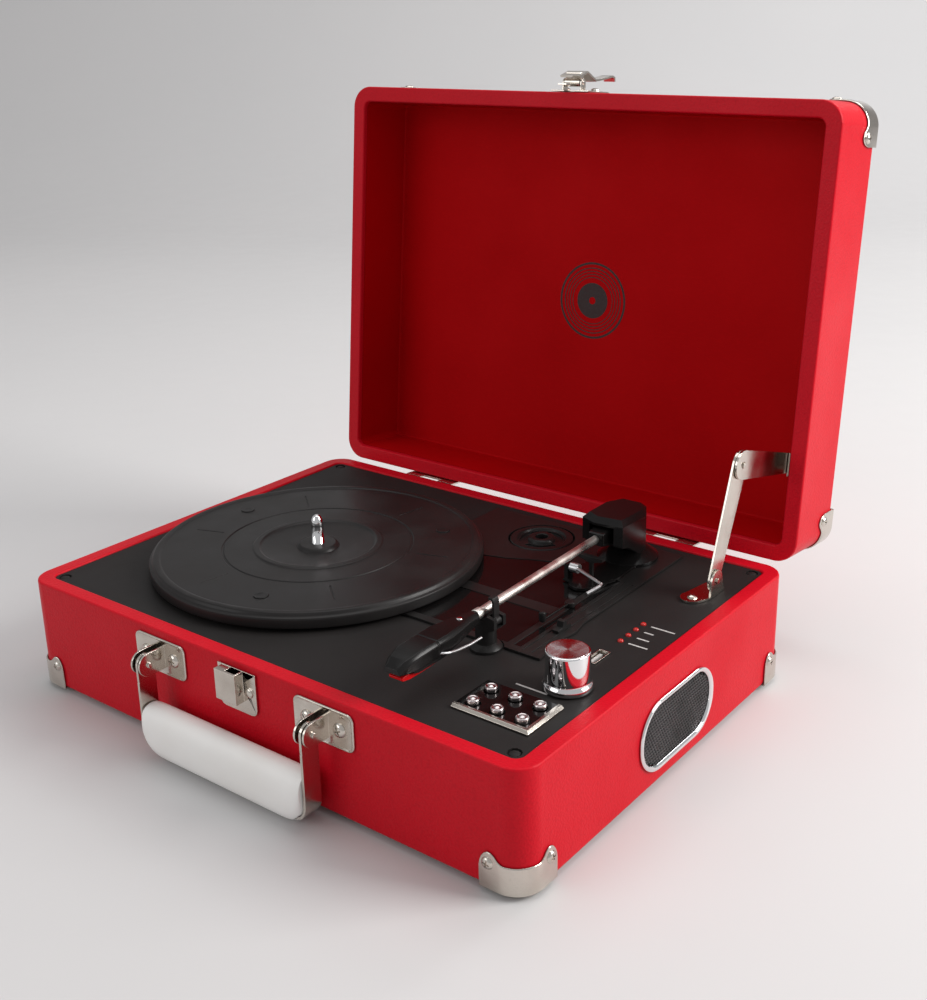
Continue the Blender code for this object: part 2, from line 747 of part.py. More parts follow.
def arm_rest_post(frame):
    """A round post with a low cradle for the tube and two lugs for the lock's pin."""
    x = REST_X
    y = REST_Y
    z = DECK_TOP + GAP
    shelf = tube_height(y) - TUBE_R - 0.6
    profile = [(8.6, z), (8.6, z + 1.2), (7.6, z + 2.4), (5.6, z + 3.6), (5.4, shelf - 3)]
    bm = bmesh.new()
    turned(bm, profile, (x, y, 0), "z", 16)
    post = add("arm_rest_post", bm, black_plastic(), frame)
    head = bmesh.new()
    side = [
        (x - 5.4, shelf - 5), (x + 4, shelf - 7), (x + 9.0, shelf - 5),
        (x + 9.0, shelf + 0.6), (x + 4.2, shelf + 1.4),
        (x + 3.0, shelf), (x - 5.4, shelf),
    ]
    prism(head, side, "y", y - 5.0, y + 5.0)
    boolean(post, head, "UNION")
    slot = bmesh.new()
    box(slot, (x + 3.8, y - 2.6, shelf - 4.8), (x + 11, y + 2.6, shelf + 4))
    boolean(post, slot)
    pin = bmesh.new()
    rod(pin, (LOCK_X, y, lock_height()), "y", -4, 4, 0.9, 10)
    boolean(post, pin, "UNION")


def lock_height():
    """Height of the arm lock's pin, a little below the tube."""
    return tube_height(REST_Y) - 4.8


def arm_lock(frame):
    """The hook beside the rest that tips over to hold the tube."""
    z = lock_height()
    path = [(LOCK_X, z - 1), (LOCK_X, z + 10.6), (LOCK_X - 0.8, z + 12.0), (LOCK_X - 3.0, z + 12.2)]
    bm = bmesh.new()
    prism(bm, strip(path, 1.4), "y", REST_Y - 2.2, REST_Y + 2.2)
    lock = add("arm_lock", bm, black_plastic(), frame)
    foot = bmesh.new()
    rod(foot, (LOCK_X, REST_Y, z), "y", -2.2, 2.2, 2.3, 12)
    boolean(lock, foot, "UNION")
    bore = bmesh.new()
    rod(bore, (LOCK_X, REST_Y, z), "y", -4, 4, 1.25, 10)
    boolean(lock, bore)


def lift_platform(frame):
    """The bar that rises under the tube, on a round stem through the deck."""
    z = PLATE_TOP + 2.4
    side = [
        (ARM_X - 8, z + 10), (ARM_X - 1.2, z + 8), (ARM_X + 1.2, z + 8),
        (ARM_X + 8, z + 10), (ARM_X + 8, z + 11.6),
        (ARM_X - 8, z + 11.6),
    ]
    bm = bmesh.new()
    prism(bm, side, "y", LIFT_Y - 1.5, LIFT_Y + 1.5)
    bar = add("lift_platform", bm, black_plastic(), frame)
    stem = bmesh.new()
    rod(stem, (ARM_X, LIFT_Y, 0), "z", DECK_TOP - 14, z + 9, 1.4, 10)
    boolean(bar, stem, "UNION")


def cue_lever(frame):
    """A hub beside the arm and a bent wire handle that passes under the tube."""
    bm = bmesh.new()
    rod(bm, (CUE_X, CUE_Y, CUE_Z), "x", -2.6, 2.6, 2.8, 12)
    lever = add("cue_lever", bm, steel(), frame)
    handle = bmesh.new()
    path = [
        (CUE_X + 1.4, CUE_Y - 1.0, CUE_Z + 0.6),
        (ARM_X, CUE_Y - 3.2, CUE_Z + 0.8), (ARM_X + 10, CUE_Y - 8, CUE_Z + 1.0),
        (ARM_X + 19, CUE_Y - 12.4, CUE_Z + 1.2), (ARM_X + 19.4, CUE_Y - 14.4, CUE_Z + 0.8),
        (ARM_X + 16, CUE_Y - 22, CUE_Z - 1.6),
    ]
    tube(handle, path, 1.0, 8)
    boolean(lever, handle, "UNION")
    bore = bmesh.new()
    rod(bore, (CUE_X, CUE_Y, CUE_Z), "x", -4, 4, 1.35, 10)
    boolean(lever, bore)


def speed_selector(frame):
    """A lever on an upright axle that points to the front, with a knob at its end."""
    bm = bmesh.new()
    z = PLATE_TOP + GAP
    outline = capsule((SELECTOR_X, SELECTOR_Y), (SELECTOR_X, SELECTOR_Y - 28), 4.0, 2.2, 6)
    prism(bm, outline, "z", z + 1.2, z + 2.8)
    lever = add("speed_selector", bm, black_plastic(), frame)
    knob = bmesh.new()
    rod(knob, (SELECTOR_X, SELECTOR_Y - 26, 0), "z", z + 2, z + 7, 2.0, 12)
    rod(knob, (SELECTOR_X, SELECTOR_Y, 0), "z", z, z + 2, 3.0, 12)
    boolean(lever, knob, "UNION")


def auto_stop_switch(frame):
    bm = bmesh.new()
    z = PLATE_TOP + GAP
    side = [
        (-14, z), (-2, z), (-2, z + 1.4), (-6, z + 1.8), (-6.6, z + 5), (-9.4, z + 5),
        (-10, z + 1.8), (-14, z + 1.4),
    ]
    prism(bm, side, "x", 110.5, 114.5)
    add("auto_stop_switch", bm, black_plastic(), frame)


# ---------------------------------------------------------------- controls


def button_panel(frame):
    bm = bmesh.new()
    low = DECK_TOP + GAP
    box(bm, (113.5, -99.1, low), (154.6, -73.0, DECK_TOP + 1.6))
    panel = add("button_panel", bm, gloss_black(), frame)
    cut = bmesh.new()
    for x in BUTTON_XS:
        for y in BUTTON_YS:
            rod(cut, (x, y, 0), "z", DECK_TOP - 2, DECK_TOP + 4, BUTTON_R + 0.5, 10)
    boolean(panel, cut)
    trim = bmesh.new()
    high = DECK_TOP + 2.2
    front = [(-98.8, low), (-98.8, high), (-100.6, high), (-102.2, low + 0.5), (-102.2, low)]
    prism(trim, front, "x", 113.5, 153.9)
    right = [(154.3, low), (154.3, high), (156.1, high), (157.7, low + 0.5), (157.7, low)]
    prism(trim, right, "y", -98.4, -73.0)
    boolean(panel, trim, "UNION")


def control_buttons(frames):
    z = DECK_TOP
    profile = [
        (1.6, z - 9), (1.6, z - 4.2), (BUTTON_R, z - 4.2),
        (BUTTON_R, z + 4.0), (BUTTON_R - 0.6, z + 4.7), (0, z + 4.9),
    ]
    number = 0
    for y in BUTTON_YS:
        for x in BUTTON_XS:
            bm = bmesh.new()
            turned(bm, profile, (x, y, 0), "z", 10)
            add(f"control_button_{number + 1}", bm, chrome(), frames[number])
            number += 1


def volume_knob(frame):
    z = DECK_TOP + 0.6
    top = DECK_TOP + 20.5
    profile = [
        (3.0, DECK_TOP - 9), (3.0, z), (12.2, z), (12.4, z + 0.8), (12.0, z + 3.0), (11.3, z + 3.8),
        (KNOB_R, z + 5), (KNOB_R, top - 0.8), (KNOB_R - 0.8, top), (0, top - 0.2),
    ]
    bm = bmesh.new()
    turned(bm, profile, (KNOB_X, KNOB_Y, 0), "z", 28)
    add("volume_knob", bm, chrome(), frame)


def circuit_board(frame):
    """The board under the controls, with what is soldered to it and shows through the deck."""
    top = 45.6
    bm = bmesh.new()
    outline = [(62, -112), (158, -112), (158, -38), (146, -38), (146, 29), (128, 29), (128, -38), (62, -38)]
    prism(bm, outline, "z", 44, top)
    board = add("circuit_board", bm, board_green(), frame)
    parts = bmesh.new()
    for x in BUTTON_XS:
        for y in BUTTON_YS:
            box(parts, (x - 3, y - 3, top - 0.5), (x + 3, y + 3, 51.5))
    box(parts, (70, -100, top - 0.5), (92, -88, 49))
    for x in (72, 84, 96):
        rod(parts, (x, -60, 0), "z", top - 0.5, 57, 4.0, 12)
    for y in LED_YS:
        light = [(1.5, top - 0.5), (1.5, DECK_TOP + 0.2), (1.0, DECK_TOP + 0.8), (0, DECK_TOP + 1.0)]
        turned(parts, light, (LED_X, y, 0), "z", 10)
    boolean(board, parts, "UNION")
    pot = bmesh.new()
    box(pot, (KNOB_X - 8, KNOB_Y - 8, top - 0.5), (KNOB_X + 8, KNOB_Y + 8, 58.9))
    boolean(board, pot, "UNION")
    bore = bmesh.new()
    rod(bore, (KNOB_X, KNOB_Y, 0), "z", 50, 62, 3.4, 14)
    boolean(board, bore)
    usb_socket(board)


def usb_socket(board):
    """An upright socket on the board, open on top."""
    shell = bmesh.new()
    prism(shell, rounded(6.6, 14.6, 0.5, 1, USB_X, USB_Y), "z", 45, DECK_TOP + 0.7)
    boolean(board, shell, "UNION")
    mouth = bmesh.new()
    prism(mouth, rounded(5.4, 13.4, 0.4, 1, USB_X, USB_Y), "z", 50, DECK_TOP + 3)
    boolean(board, mouth)


# ---------------------------------------------------------------- speakers and rear sockets


def speaker_grille(name, frame, side):
    """An oval bezel on the side wall, closed by a mesh plate set back in its opening."""
    face = CASE_W / 2
    rows = [
        (SPEAKER_L, SPEAKER_H, face + GAP), (SPEAKER_L, SPEAKER_H, face + 1.0),
        (SPEAKER_L - 1.2, SPEAKER_H - 1.2, face + 1.8), (SPEAKER_L - 4.4, SPEAKER_H - 4.4, face + 1.4),
        (SPEAKER_L - 6.4, SPEAKER_H - 6.4, face + 0.6), (SPEAKER_L - 6.4, SPEAKER_H - 6.4, face - 0.4),
        (10, 2, face - 0.4), (10, 2, face - 1.4), (SPEAKER_L - 5.8, SPEAKER_H - 5.8, face - 1.4),
        (SPEAKER_L - 5.8, SPEAKER_H - 5.8, face + GAP),
    ]
    bm = bmesh.new()
    loops = [spread(racetrack(a, b, cx=SPEAKER_Y, cy=SPEAKER_Z), "x", side * x) for a, b, x in rows]
    loft(bm, loops[7:] + loops[:7])
    add(name, bm, black_mesh(), frame)


def speaker_driver(name, frame, side):
    """An oval driver behind the wall: flange, basket, magnet and a dished cone in front."""
    inner = CASE_W / 2 - WALL - GAP
    rows = [
        (16, 12, inner - 8), (60, 28, inner - 1), (64, 30, inner), (80, 44, inner), (80, 44, inner - 2.4),
        (66, 36, inner - 2.4), (40, 29, inner - 14), (32, 28, inner - 14), (32, 28, inner - 26),
    ]
    bm = bmesh.new()
    loft(bm, [spread(racetrack(a, b, cx=SPEAKER_Y, cy=SPEAKER_Z + 1), "x", side * x) for a, b, x in rows])
    add(name, bm, steel(), frame)


def rear_socket_panel(frame):
    """A plate in the back wall with two round line sockets and a power inlet."""
    bm = bmesh.new()
    back = CASE_D / 2
    box(bm, (-41, back + GAP, 13), (41, back + 1.6, 39))
    plate = add("rear_socket_panel", bm, black_plastic(), frame)
    body = bmesh.new()
    box(body, (-34, back - 11, 18.5), (34, back + 1.0, 33.5))
    boolean(plate, body, "UNION")
    barrels = bmesh.new()
    for x in (-24, -8):
        rod(barrels, (x, 0, 26), "y", back - 2, back + 9, 4.1, 14)
    boolean(plate, barrels, "UNION")
    holes = bmesh.new()
    for x in (-24, -8):
        rod(holes, (x, 0, 26), "y", back - 6, back + 11, 1.7, 10)
    rod(holes, (10, 0, 26), "y", back - 9, back + 4, 1.8, 10)
    rod(holes, (25, 0, 26), "y", back - 9, back + 4, 3.1, 14)
    boolean(plate, holes)


# ---------------------------------------------------------------- hinges, latch, stay


def hinge_profile(sign):
    """Side outline of a leaf: a plate on the case's back and a round knuckle on the axis."""
    r = 2.6
    near = CASE_D / 2 + GAP
    far = near + 1.0
    lean = math.degrees(math.acos((far - HINGE_Y) / r))
    lip = r * math.sin(math.radians(lean))
    curl = arc(HINGE_Y, 0, r, -lean if sign < 0 else lean - 360, lean if sign < 0 else -lean, 12)
    if sign > 0:
        curl = arc(HINGE_Y, 0, r, lean, -lean, 12)
    points = [(near, sign * 22.0), (far, sign * 22.0)]
    points += curl
    points += [(near, -sign * lip)]
    return [(y, HINGE_Z + z) for y, z in points]


def hinge_leaf(name, frame, x, sign):
    """One leaf of a hinge. The base leaf has the middle knuckle and the pin."""
    bm = bmesh.new()
    prism(bm, hinge_profile(sign), "x", x - 20, x + 20)
    leaf = add(name, bm, nickel(), frame)
    cut = bmesh.new()
    if sign > 0:
        box(cut, (x - 7.7, 129, HINGE_Z - 4), (x + 7.7, 140, HINGE_Z + 3.4))
        rod(cut, (x, HINGE_Y, HINGE_Z), "x", 7.5, 22, 1.4, 12)
        rod(cut, (x, HINGE_Y, HINGE_Z), "x", -22, -7.5, 1.4, 12)
    else:
        box(cut, (x - 22, 129, HINGE_Z - 3.4), (x - 7.4, 140, HINGE_Z + 4))
        box(cut, (x + 7.4, 129, HINGE_Z - 3.4), (x + 22, 140, HINGE_Z + 4))
    boolean(leaf, cut)
    added = bmesh.new()
    if sign < 0:
        rod(added, (x, HINGE_Y, HINGE_Z), "x", -20.4, 20.4, 1.1, 12)
    for side in (-1, 1):
        rise = 15.4 if sign > 0 else -15.0
        dome_head(added, (x + side * 13, CASE_D / 2 + GAP + 0.8, HINGE_Z + rise), "y", 1, 3.0, 1.8)
    boolean(leaf, added, "UNION")


def hinge_leaves(part, frame, sign):
    for side, word in SIDES:
        hinge_leaf(f"hinge_{part}_leaf_{word}", frame, side * HINGE_X, sign)


def stay_foot_bracket(frame):
    """An angle bracket: a foot on the deck and an upright tab for the lower arm."""
    z = DECK_TOP + GAP
    tab = STAY_X + STAY_T / 2 + GAP
    y, pivot_z = STAY_BASE
    bm = bmesh.new()
    foot = [(tab + 1.2, y - 8), (tab + 1.2, y + 9), (146, y + 9)] + arc(148.6, y - 12, 6.4, 150, 330, 8)
    prism(bm, foot, "z", z, z + 1.2)
    bracket = add("stay_foot_bracket", bm, nickel(), frame)
    upright = bmesh.new()
    outline = [(y + 9, z), (y + 6.2, pivot_z)] + arc(y, pivot_z, 6.2, 0, 180, 8)[1:] + [(y - 7, z)]
    prism(upright, outline, "x", tab, tab + 1.2)
    boolean(bracket, upright, "UNION")
    pin = bmesh.new()
    rod(pin, (tab, y, pivot_z), "x", -STAY_T - 2 * GAP - 0.6, 2.2, 1.5, 12)
    boolean(bracket, pin, "UNION")
    head = bmesh.new()
    dome_head(head, (148.8, y - 11.6, z + 0.8), "z", 1, 3.0, 1.9)
    boolean(bracket, head, "UNION")


def stay_arm(name, frame, first, last, x, radii, hole):
    """A flat arm with round ends in the plane of the stay, bored at one end."""
    bm = bmesh.new()
    prism(bm, capsule(first, last, radii[0], radii[1], 8), "x", x - STAY_T / 2, x + STAY_T / 2)
    arm = add(name, bm, nickel(), frame)
    cut = bmesh.new()
    rod(cut, (x, *hole), "x", -3, 3, 1.9, 12)
    boolean(arm, cut)
    return arm


def stay_arms(lower_frame, upper_frame):
    upper_x = STAY_X + STAY_T + GAP
    lower = stay_arm(
        "stay_lower_arm", lower_frame, STAY_BASE, STAY_KNEE_OPEN, STAY_X, (6.2, 8.4), STAY_BASE
    )
    rivet = bmesh.new()
    y, z = STAY_KNEE_OPEN
    rod(rivet, (STAY_X, y, z), "x", -1.6, STAY_T + GAP + 1.6, 1.6, 12)
    boolean(lower, rivet, "UNION")
    stay_arm(
        "stay_upper_arm", upper_frame, STAY_KNEE_OPEN, STAY_LID_OPEN, upper_x, (8.4, 6.0),
        STAY_KNEE_OPEN,
    )


def stay_lid_bracket(frame):
    """A bent tab on the lid's right inner wall; the upper arm's end lies beside it."""
    y, z = opened(STAY_LID_OPEN)
    wall = CASE_W / 2 - WALL - 0.3 - GAP
    tab = STAY_X + 1.5 * STAY_T + 2 * GAP
    path = [(tab + 0.6, z - 6), (tab + 0.6, z + 7), (wall - 0.6, z + 7), (wall - 0.6, z - 10)]
    bm = bmesh.new()
    prism(bm, strip(path, 1.2), "y", y - 7, y + 7)
    add("stay_lid_bracket", bm, nickel(), frame)


def latch_plate(frame):
    """The plate on the lid with two ears that hold the hasp's pin."""
    bm = bmesh.new()
    z = LID_RIM + 1.2
    near = FRONT_Y - GAP
    corners = [(-13.5, z), (13.5, z), (13.5, z + 24), (-13.5, z + 24)]
    prism(bm, corners, "y", near - 1.0, near)
    plate = add("latch_plate", bm, nickel(), frame)
    turns = [math.pi * i / 8 for i in range(9)]
    nose = [(LATCH_PIN_Y - 2.5 * math.sin(a), LATCH_PIN_Z - 2.5 * math.cos(a)) for a in turns]
    outline = [(near - 0.5, LATCH_PIN_Z - 2.5)] + nose + [(near - 0.5, LATCH_PIN_Z + 2.5)]
    for side in (-1, 1):
        ear = bmesh.new()
        prism(ear, outline, "x", side * 6.4 - 0.5, side * 6.4 + 0.5)
        boolean(plate, ear, "UNION")
    pin = bmesh.new()
    rod(pin, (0, LATCH_PIN_Y, LATCH_PIN_Z), "x", -7.4, 7.4, 1.2, 12)
    for side in (-1, 1):
        dome_head(pin, (side * 10.4, near - 0.6, LID_RIM + 14), "y", -1, 2.9, 2.2)
    boolean(plate, pin, "UNION")
    notch = bmesh.new()
    box(notch, (-3.85, near - 3, z - 1), (3.85, near + 1, z + 3.6))
    boolean(plate, notch)


def latch_hasp(frame):
    """A bent lever: a peaked roof over the ears, a long finger tab with a curled tip, a hook."""
    z = LID_RIM
    y = FRONT_Y
    roof = [(y - 9.2, z + 1.6), (y - 12.2, z + 9.6), (y - 9.4, z + 16.0), (y - 7.6, z + 20.0)]
    bm = bmesh.new()
    prism(bm, strip(roof, 1.2), "x", -7.3, 7.3)
    hasp = add("latch_hasp", bm, nickel(), frame)
    tab = bmesh.new()
    reach = [
        (y - 8.4, z + 18.4), (y - 7.6, z + 20.5), (y - 8.4, z + 28),
        (y - 10.2, z + 38), (y - 11.4, z + 43.5),
        (y - 10.6, z + 46.2), (y - 8.4, z + 46.8),
    ]
    prism(tab, strip(reach, 1.2), "x", -4.0, 4.0)
    boolean(hasp, tab, "UNION")
    hub = bmesh.new()
    rod(hub, (0, LATCH_PIN_Y, LATCH_PIN_Z), "x", -5.4, 5.4, 2.6, 14)
    boolean(hasp, hub, "UNION")
    web = bmesh.new()
    corners = [(LATCH_PIN_Y - 5.6, LATCH_PIN_Z - 1.2), (LATCH_PIN_Y, LATCH_PIN_Z - 1.8)]
    corners += [(LATCH_PIN_Y, LATCH_PIN_Z + 1.8), (LATCH_PIN_Y - 6.0, LATCH_PIN_Z + 2.6)]
    prism(web, corners, "x", -5.2, 5.2)
    boolean(hasp, web, "UNION")
    hook = bmesh.new()
    claw = [(LATCH_PIN_Y + 1.6, LATCH_PIN_Z), (LATCH_PIN_Y + 1.6, z - 7.0)]
    prism(hook, strip(claw, 1.0), "x", -3.0, 3.0)
    boolean(hasp, hook, "UNION")
    bore = bmesh.new()
    rod(bore, (0, LATCH_PIN_Y, LATCH_PIN_Z), "x", -9, 9, 1.5, 12)
    boolean(hasp, bore)


def catch_plate(frame):
    """The plate on the base with a raised box, slotted on top for the hasp's hook."""
    near = FRONT_Y - GAP
    bm = bmesh.new()
    corners = arc(-9.5, 40.5, 4, 180, 270, 3) + arc(9.5, 40.5, 4, 270, 360, 3)
    corners += [(13.5, 60.2), (-13.5, 60.2)]
    prism(bm, corners, "y", near - 1.0, near)
    plate = add("catch_plate", bm, nickel(), frame)
    block = bmesh.new()
    box(block, (-10.2, near - 6.4, 43.0), (4.6, near - 0.5, 59.8))
    boolean(plate, block, "UNION")
    hollow = bmesh.new()
    box(hollow, (-9.2, near - 5.4, 41.0), (3.6, near - 1.0, 58.8))
    boolean(plate, hollow)
    slot = bmesh.new()
    box(slot, (-3.6, near - 5.0, 57.0), (3.6, near - 1.0, 62.0))
    boolean(plate, slot)
    head = bmesh.new()
    dome_head(head, (9.0, near - 0.6, 49.4), "y", -1, 3.0, 2.0)
    boolean(plate, head, "UNION")


# ---------------------------------------------------------------- lid and handle


def lid_shell(frame):
    """A shallow tray, rim down when closed."""
    inner_w = CASE_W - 2 * WALL - 0.6
    inner_d = CASE_D - 2 * WALL - 0.6
    rows = [
        (inner_w, inner_d, 4.6, LID_TOP - LID_SKIN),
        (inner_w, inner_d, 4.6, LID_RIM + 0.6),
        (inner_w + 1.2, inner_d + 1.2, 5.0, LID_RIM),
        (CASE_W - 3.0, CASE_D - 3.0, CORNER_R - 1.5, LID_RIM),
        (CASE_W - 0.9, CASE_D - 0.9, CORNER_R, LID_RIM + 0.5),
        (CASE_W, CASE_D, CORNER_R, LID_RIM + 1.6),
        (CASE_W, CASE_D, CORNER_R, LID_TOP - 2.0),
        (CASE_W - 1.2, CASE_D - 1.2, CORNER_R, LID_TOP - 0.6),
        (CASE_W - 4.0, CASE_D - 4.0, CORNER_R - 2, LID_TOP),
    ]
    bm = bmesh.new()
    loft(bm, [spread(rounded(w, d, r), "z", z) for w, d, r, z in rows])
    add("lid_shell", bm, leatherette(), frame)


def handle_plate(name, frame, x):
    """A plate on the case's front with two screws, a pair of ears and a pin for the strap."""
    near = FRONT_Y - GAP
    bm = bmesh.new()
    prism(bm, rounded(39, 20.4, 4, 4, x, 49.2), "y", near - 1.0, near)
    plate = add(name, bm, nickel(), frame)
    ears = bmesh.new()
    turns = [math.pi * i / 8 for i in range(9)]
    nose = [(HANDLE_PIN_Y - 6.4 * math.sin(a), HANDLE_PIN_Z - 6.4 * math.cos(a)) for a in turns]
    outline = [(near - 0.5, HANDLE_PIN_Z - 6.4)] + nose + [(near - 0.5, HANDLE_PIN_Z + 6.4)]
    for side in (-1, 1):
        middle = x + side * 2.9
        prism(ears, outline, "x", middle - 0.6, middle + 0.6)
    boolean(plate, ears, "UNION")
    fixings = bmesh.new()
    rod(fixings, (x, HANDLE_PIN_Y, HANDLE_PIN_Z), "x", -4.8, 4.8, 1.6, 12)
    for side in (-1, 1):
        dome_head(fixings, (x + side * 10.6, near - 0.7, 49.4), "y", -1, 3.5, 2.1)
    boolean(plate, fixings, "UNION")


def strap_path(side, last):
    """Down from the pin, then inward to a length that ends inside the grip."""
    steps = [(0, 40.0), (0, 12.0), (0.9, 7.4), (3.4, 4.2), (7.6, 3.0), (last, 3.0)]
    return [(side * (HANDLE_X - inward), z) for inward, z in steps]


def handle_strap(name, frame, side):
    """A flat strap that hangs on its pin and turns in to the slot in the grip's end."""
    x = side * HANDLE_X
    bm = bmesh.new()
    prism(bm, strip(strap_path(side, 16.0), 1.5), "y", HANDLE_PIN_Y - 5.5, HANDLE_PIN_Y + 5.5)
    strap = add(name, bm, nickel(), frame)
    head = bmesh.new()
    outline = capsule((HANDLE_PIN_Y, HANDLE_PIN_Z), (HANDLE_PIN_Y, 41.0), 5.5, 5.4, 8)
    prism(head, outline, "x", x - 0.75, x + 0.75)
    boolean(strap, head, "UNION")
    bore = bmesh.new()
    rod(bore, (x, HANDLE_PIN_Y, HANDLE_PIN_Z), "x", -3, 3, 1.95, 12)
    boolean(strap, bore)


def handle_grip(frame):
    """A padded grip, flat along the top and rounded up at both ends, slotted for the straps."""
    half = [(57.6, 0.58), (57.0, 0.70), (55.4, 0.82), (52.6, 0.92), (49.0, 0.98), (44.0, 1.0)]
    stations = [(-x, s) for x, s in half] + [(x, s) for x, s in reversed(half)]
    loops = []
    for x, s in stations:
        depth = GRIP_HALF_Y * (1 - 0.5 * (1 - s))
        middle = GRIP_Z + GRIP_HALF_Z * (1 - s) * 0.9
        ring = []
        for i in range(16):
            a = 2 * math.pi * i / 16
            y = depth * math.copysign(abs(math.cos(a)) ** 0.8, math.cos(a))
            z = GRIP_HALF_Z * s * math.copysign(abs(math.sin(a)) ** 0.85, math.sin(a))
            ring.append((x, HANDLE_PIN_Y + y, middle + z))
        loops.append(ring)
    bm = bmesh.new()
    loft(bm, loops)
    grip = add("handle_grip", bm, pale_grip(), frame)
    for side in (-1, 1):
        slot = bmesh.new()
        walls = (HANDLE_PIN_Y - 5.9, HANDLE_PIN_Y + 5.9)
        prism(slot, strip(strap_path(side, 16.5), 2.4), "y", *walls)
        boolean(grip, slot)


# ---------------------------------------------------------------- assembly


def build_case(case):
    base_case(case)
    bottom_panel(case)
    corner_protectors("base", case, 0.0, 1)
    deck_panel(case)
    mechanism_plate(case)
    spindle(case)
    motor(case)
    drive_belt(case)
    tonearm_base(case)
    arm_rest_post(case)
    button_panel(case)
    circuit_board(case)
    for side, word in SIDES:
        speaker_grille(f"speaker_grille_{word}", case, side)
        speaker_driver(f"speaker_driver_{word}", case, side)
        handle_plate(f"handle_plate_{word}", case, side * HANDLE_X)
    rear_socket_panel(case)
    hinge_leaves("base", case, -1)
    stay_foot_bracket(case)
    catch_plate(case)


def build_lid(case):
    lid = make_frame("lid_axis", (0, HINGE_Y, HINGE_Z), case)
    lid_shell(lid)
    corner_protectors("lid", lid, LID_TOP, -1)
    hinge_leaves("lid", lid, 1)
    latch_plate(lid)
    stay_lid_bracket(lid)
    latch = make_frame("latch_axis", (0, LATCH_PIN_Y, LATCH_PIN_Z), lid)
    latch_hasp(latch)
    lid.rotation_euler.x = -math.radians(LID_OPEN_DEG)


def build_deck_motion(case):
    platter(make_frame("platter_axis", (PLATTER_X, PLATTER_Y, PLATTER_TOP), case))
    motor_pulley(make_frame("motor_axis", (*pulley_centre(), PLATTER_TOP), case))
    adapter_45(make_frame("adapter_axis", (ADAPTER_X, ADAPTER_Y, DECK_TOP), case))
    swing = make_frame("arm_swing_axis", (ARM_X, ARM_Y, DECK_TOP), case)
    arm_housing(swing)
    lift = make_frame("arm_lift_axis", (ARM_X, ARM_LIFT_Y, ARM_LIFT_Z), swing)
    tonearm_tube(lift)
    headshell(lift)
    cartridge(lift)
    arm_lock(make_frame("arm_lock_axis", (LOCK_X, REST_Y, lock_height()), case))
    lift_platform(make_frame("lift_platform_axis", (ARM_X, LIFT_Y, PLATE_TOP), case))
    cue_lever(make_frame("cue_axis", (CUE_X, CUE_Y, CUE_Z), case))
    speed_selector(make_frame("speed_axis", (SELECTOR_X, SELECTOR_Y, PLATE_TOP), case))
    auto_stop_switch(make_frame("auto_stop_axis", (112.5, -8, PLATE_TOP), case))
    volume_knob(make_frame("volume_axis", (KNOB_X, KNOB_Y, DECK_TOP), case))
    frames = []
    for y in BUTTON_YS:
        for x in BUTTON_XS:
            frames.append(make_frame(f"button_axis_{len(frames) + 1}", (x, y, DECK_TOP), case))
    control_buttons(frames)


def build_stay_and_handle(case):
    lower = make_frame("stay_lower_axis", (STAY_X, *STAY_BASE), case)
    upper = make_frame("stay_knee_axis", (STAY_X, *STAY_KNEE_OPEN), lower)
    stay_arms(lower, upper)
    handle = make_frame("handle_axis", (0, HANDLE_PIN_Y, HANDLE_PIN_Z), case)
    for side, word in SIDES:
        handle_strap(f"handle_strap_{word}", handle, side)
    handle_grip(handle)


def main():
    clear_scene()
    case = make_frame("case_frame", (0, 0, 0))
    case.location = (0, CASE_CENTRE_Y * MM, FOOT_H * MM)
    build_case(case)
    build_lid(case)
    build_deck_motion(case)
    build_stay_and_handle(case)


main()
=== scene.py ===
"""Looks of the open suitcase record player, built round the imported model.

Pieces are drawn in the case frame, in millimetres: x to the right, y to the back, z up, from the
centre of the case's underside with the lid closed. Pieces of the lid are then turned open.
"""

import math

import bmesh
import bpy
from mathutils import Matrix, Vector


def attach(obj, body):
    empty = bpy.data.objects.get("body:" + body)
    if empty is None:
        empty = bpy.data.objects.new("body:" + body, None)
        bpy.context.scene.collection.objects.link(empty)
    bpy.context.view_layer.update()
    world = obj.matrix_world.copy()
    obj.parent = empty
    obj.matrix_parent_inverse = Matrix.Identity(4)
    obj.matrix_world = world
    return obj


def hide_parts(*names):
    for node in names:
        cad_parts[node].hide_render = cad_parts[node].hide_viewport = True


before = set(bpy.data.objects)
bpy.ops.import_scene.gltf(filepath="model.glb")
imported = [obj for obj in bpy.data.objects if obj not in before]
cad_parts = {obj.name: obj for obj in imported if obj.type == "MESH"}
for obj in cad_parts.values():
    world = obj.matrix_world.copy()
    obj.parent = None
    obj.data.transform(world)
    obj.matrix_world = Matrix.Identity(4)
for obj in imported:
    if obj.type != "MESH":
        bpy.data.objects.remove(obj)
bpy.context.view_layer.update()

MM = 0.001
GAP = 0.3
FOOT_H = 3.5
CASE_CENTRE_Y = -32.1
CASE = Matrix.Translation((0, CASE_CENTRE_Y * MM, FOOT_H * MM))

CASE_W = 350.0
CASE_D = 260.0
BASE_H = 63.5
LID_DEPTH = 49.4
LID_SKIN = 5.5
CORNER_R = 13.5
WALL = 9.5
LID_RIM = BASE_H + 0.6
LID_TOP = BASE_H + LID_DEPTH
HINGE_Y = 133.65
HINGE_Z = 58.7
LID_OPEN_DEG = 95.6
DECK_TOP = BASE_H - 1.0
DECK_THICK = 3.0
PLATE_TOP = DECK_TOP + 1.5
FRONT_Y = -CASE_D / 2

PLATTER_X = -57.5
PLATTER_Y = -12.0
PLATTER_R = 97.5
PLATTER_BOTTOM = DECK_TOP + 2.1
PLATTER_TOP = DECK_TOP + 11.0
DRUM_R = 74.0
SPINDLE_R = 3.6
SPINDLE_TOP = DECK_TOP + 28.0
ADAPTER_X = 34.0
ADAPTER_Y = 87.0
ADAPTER_R = 19.4

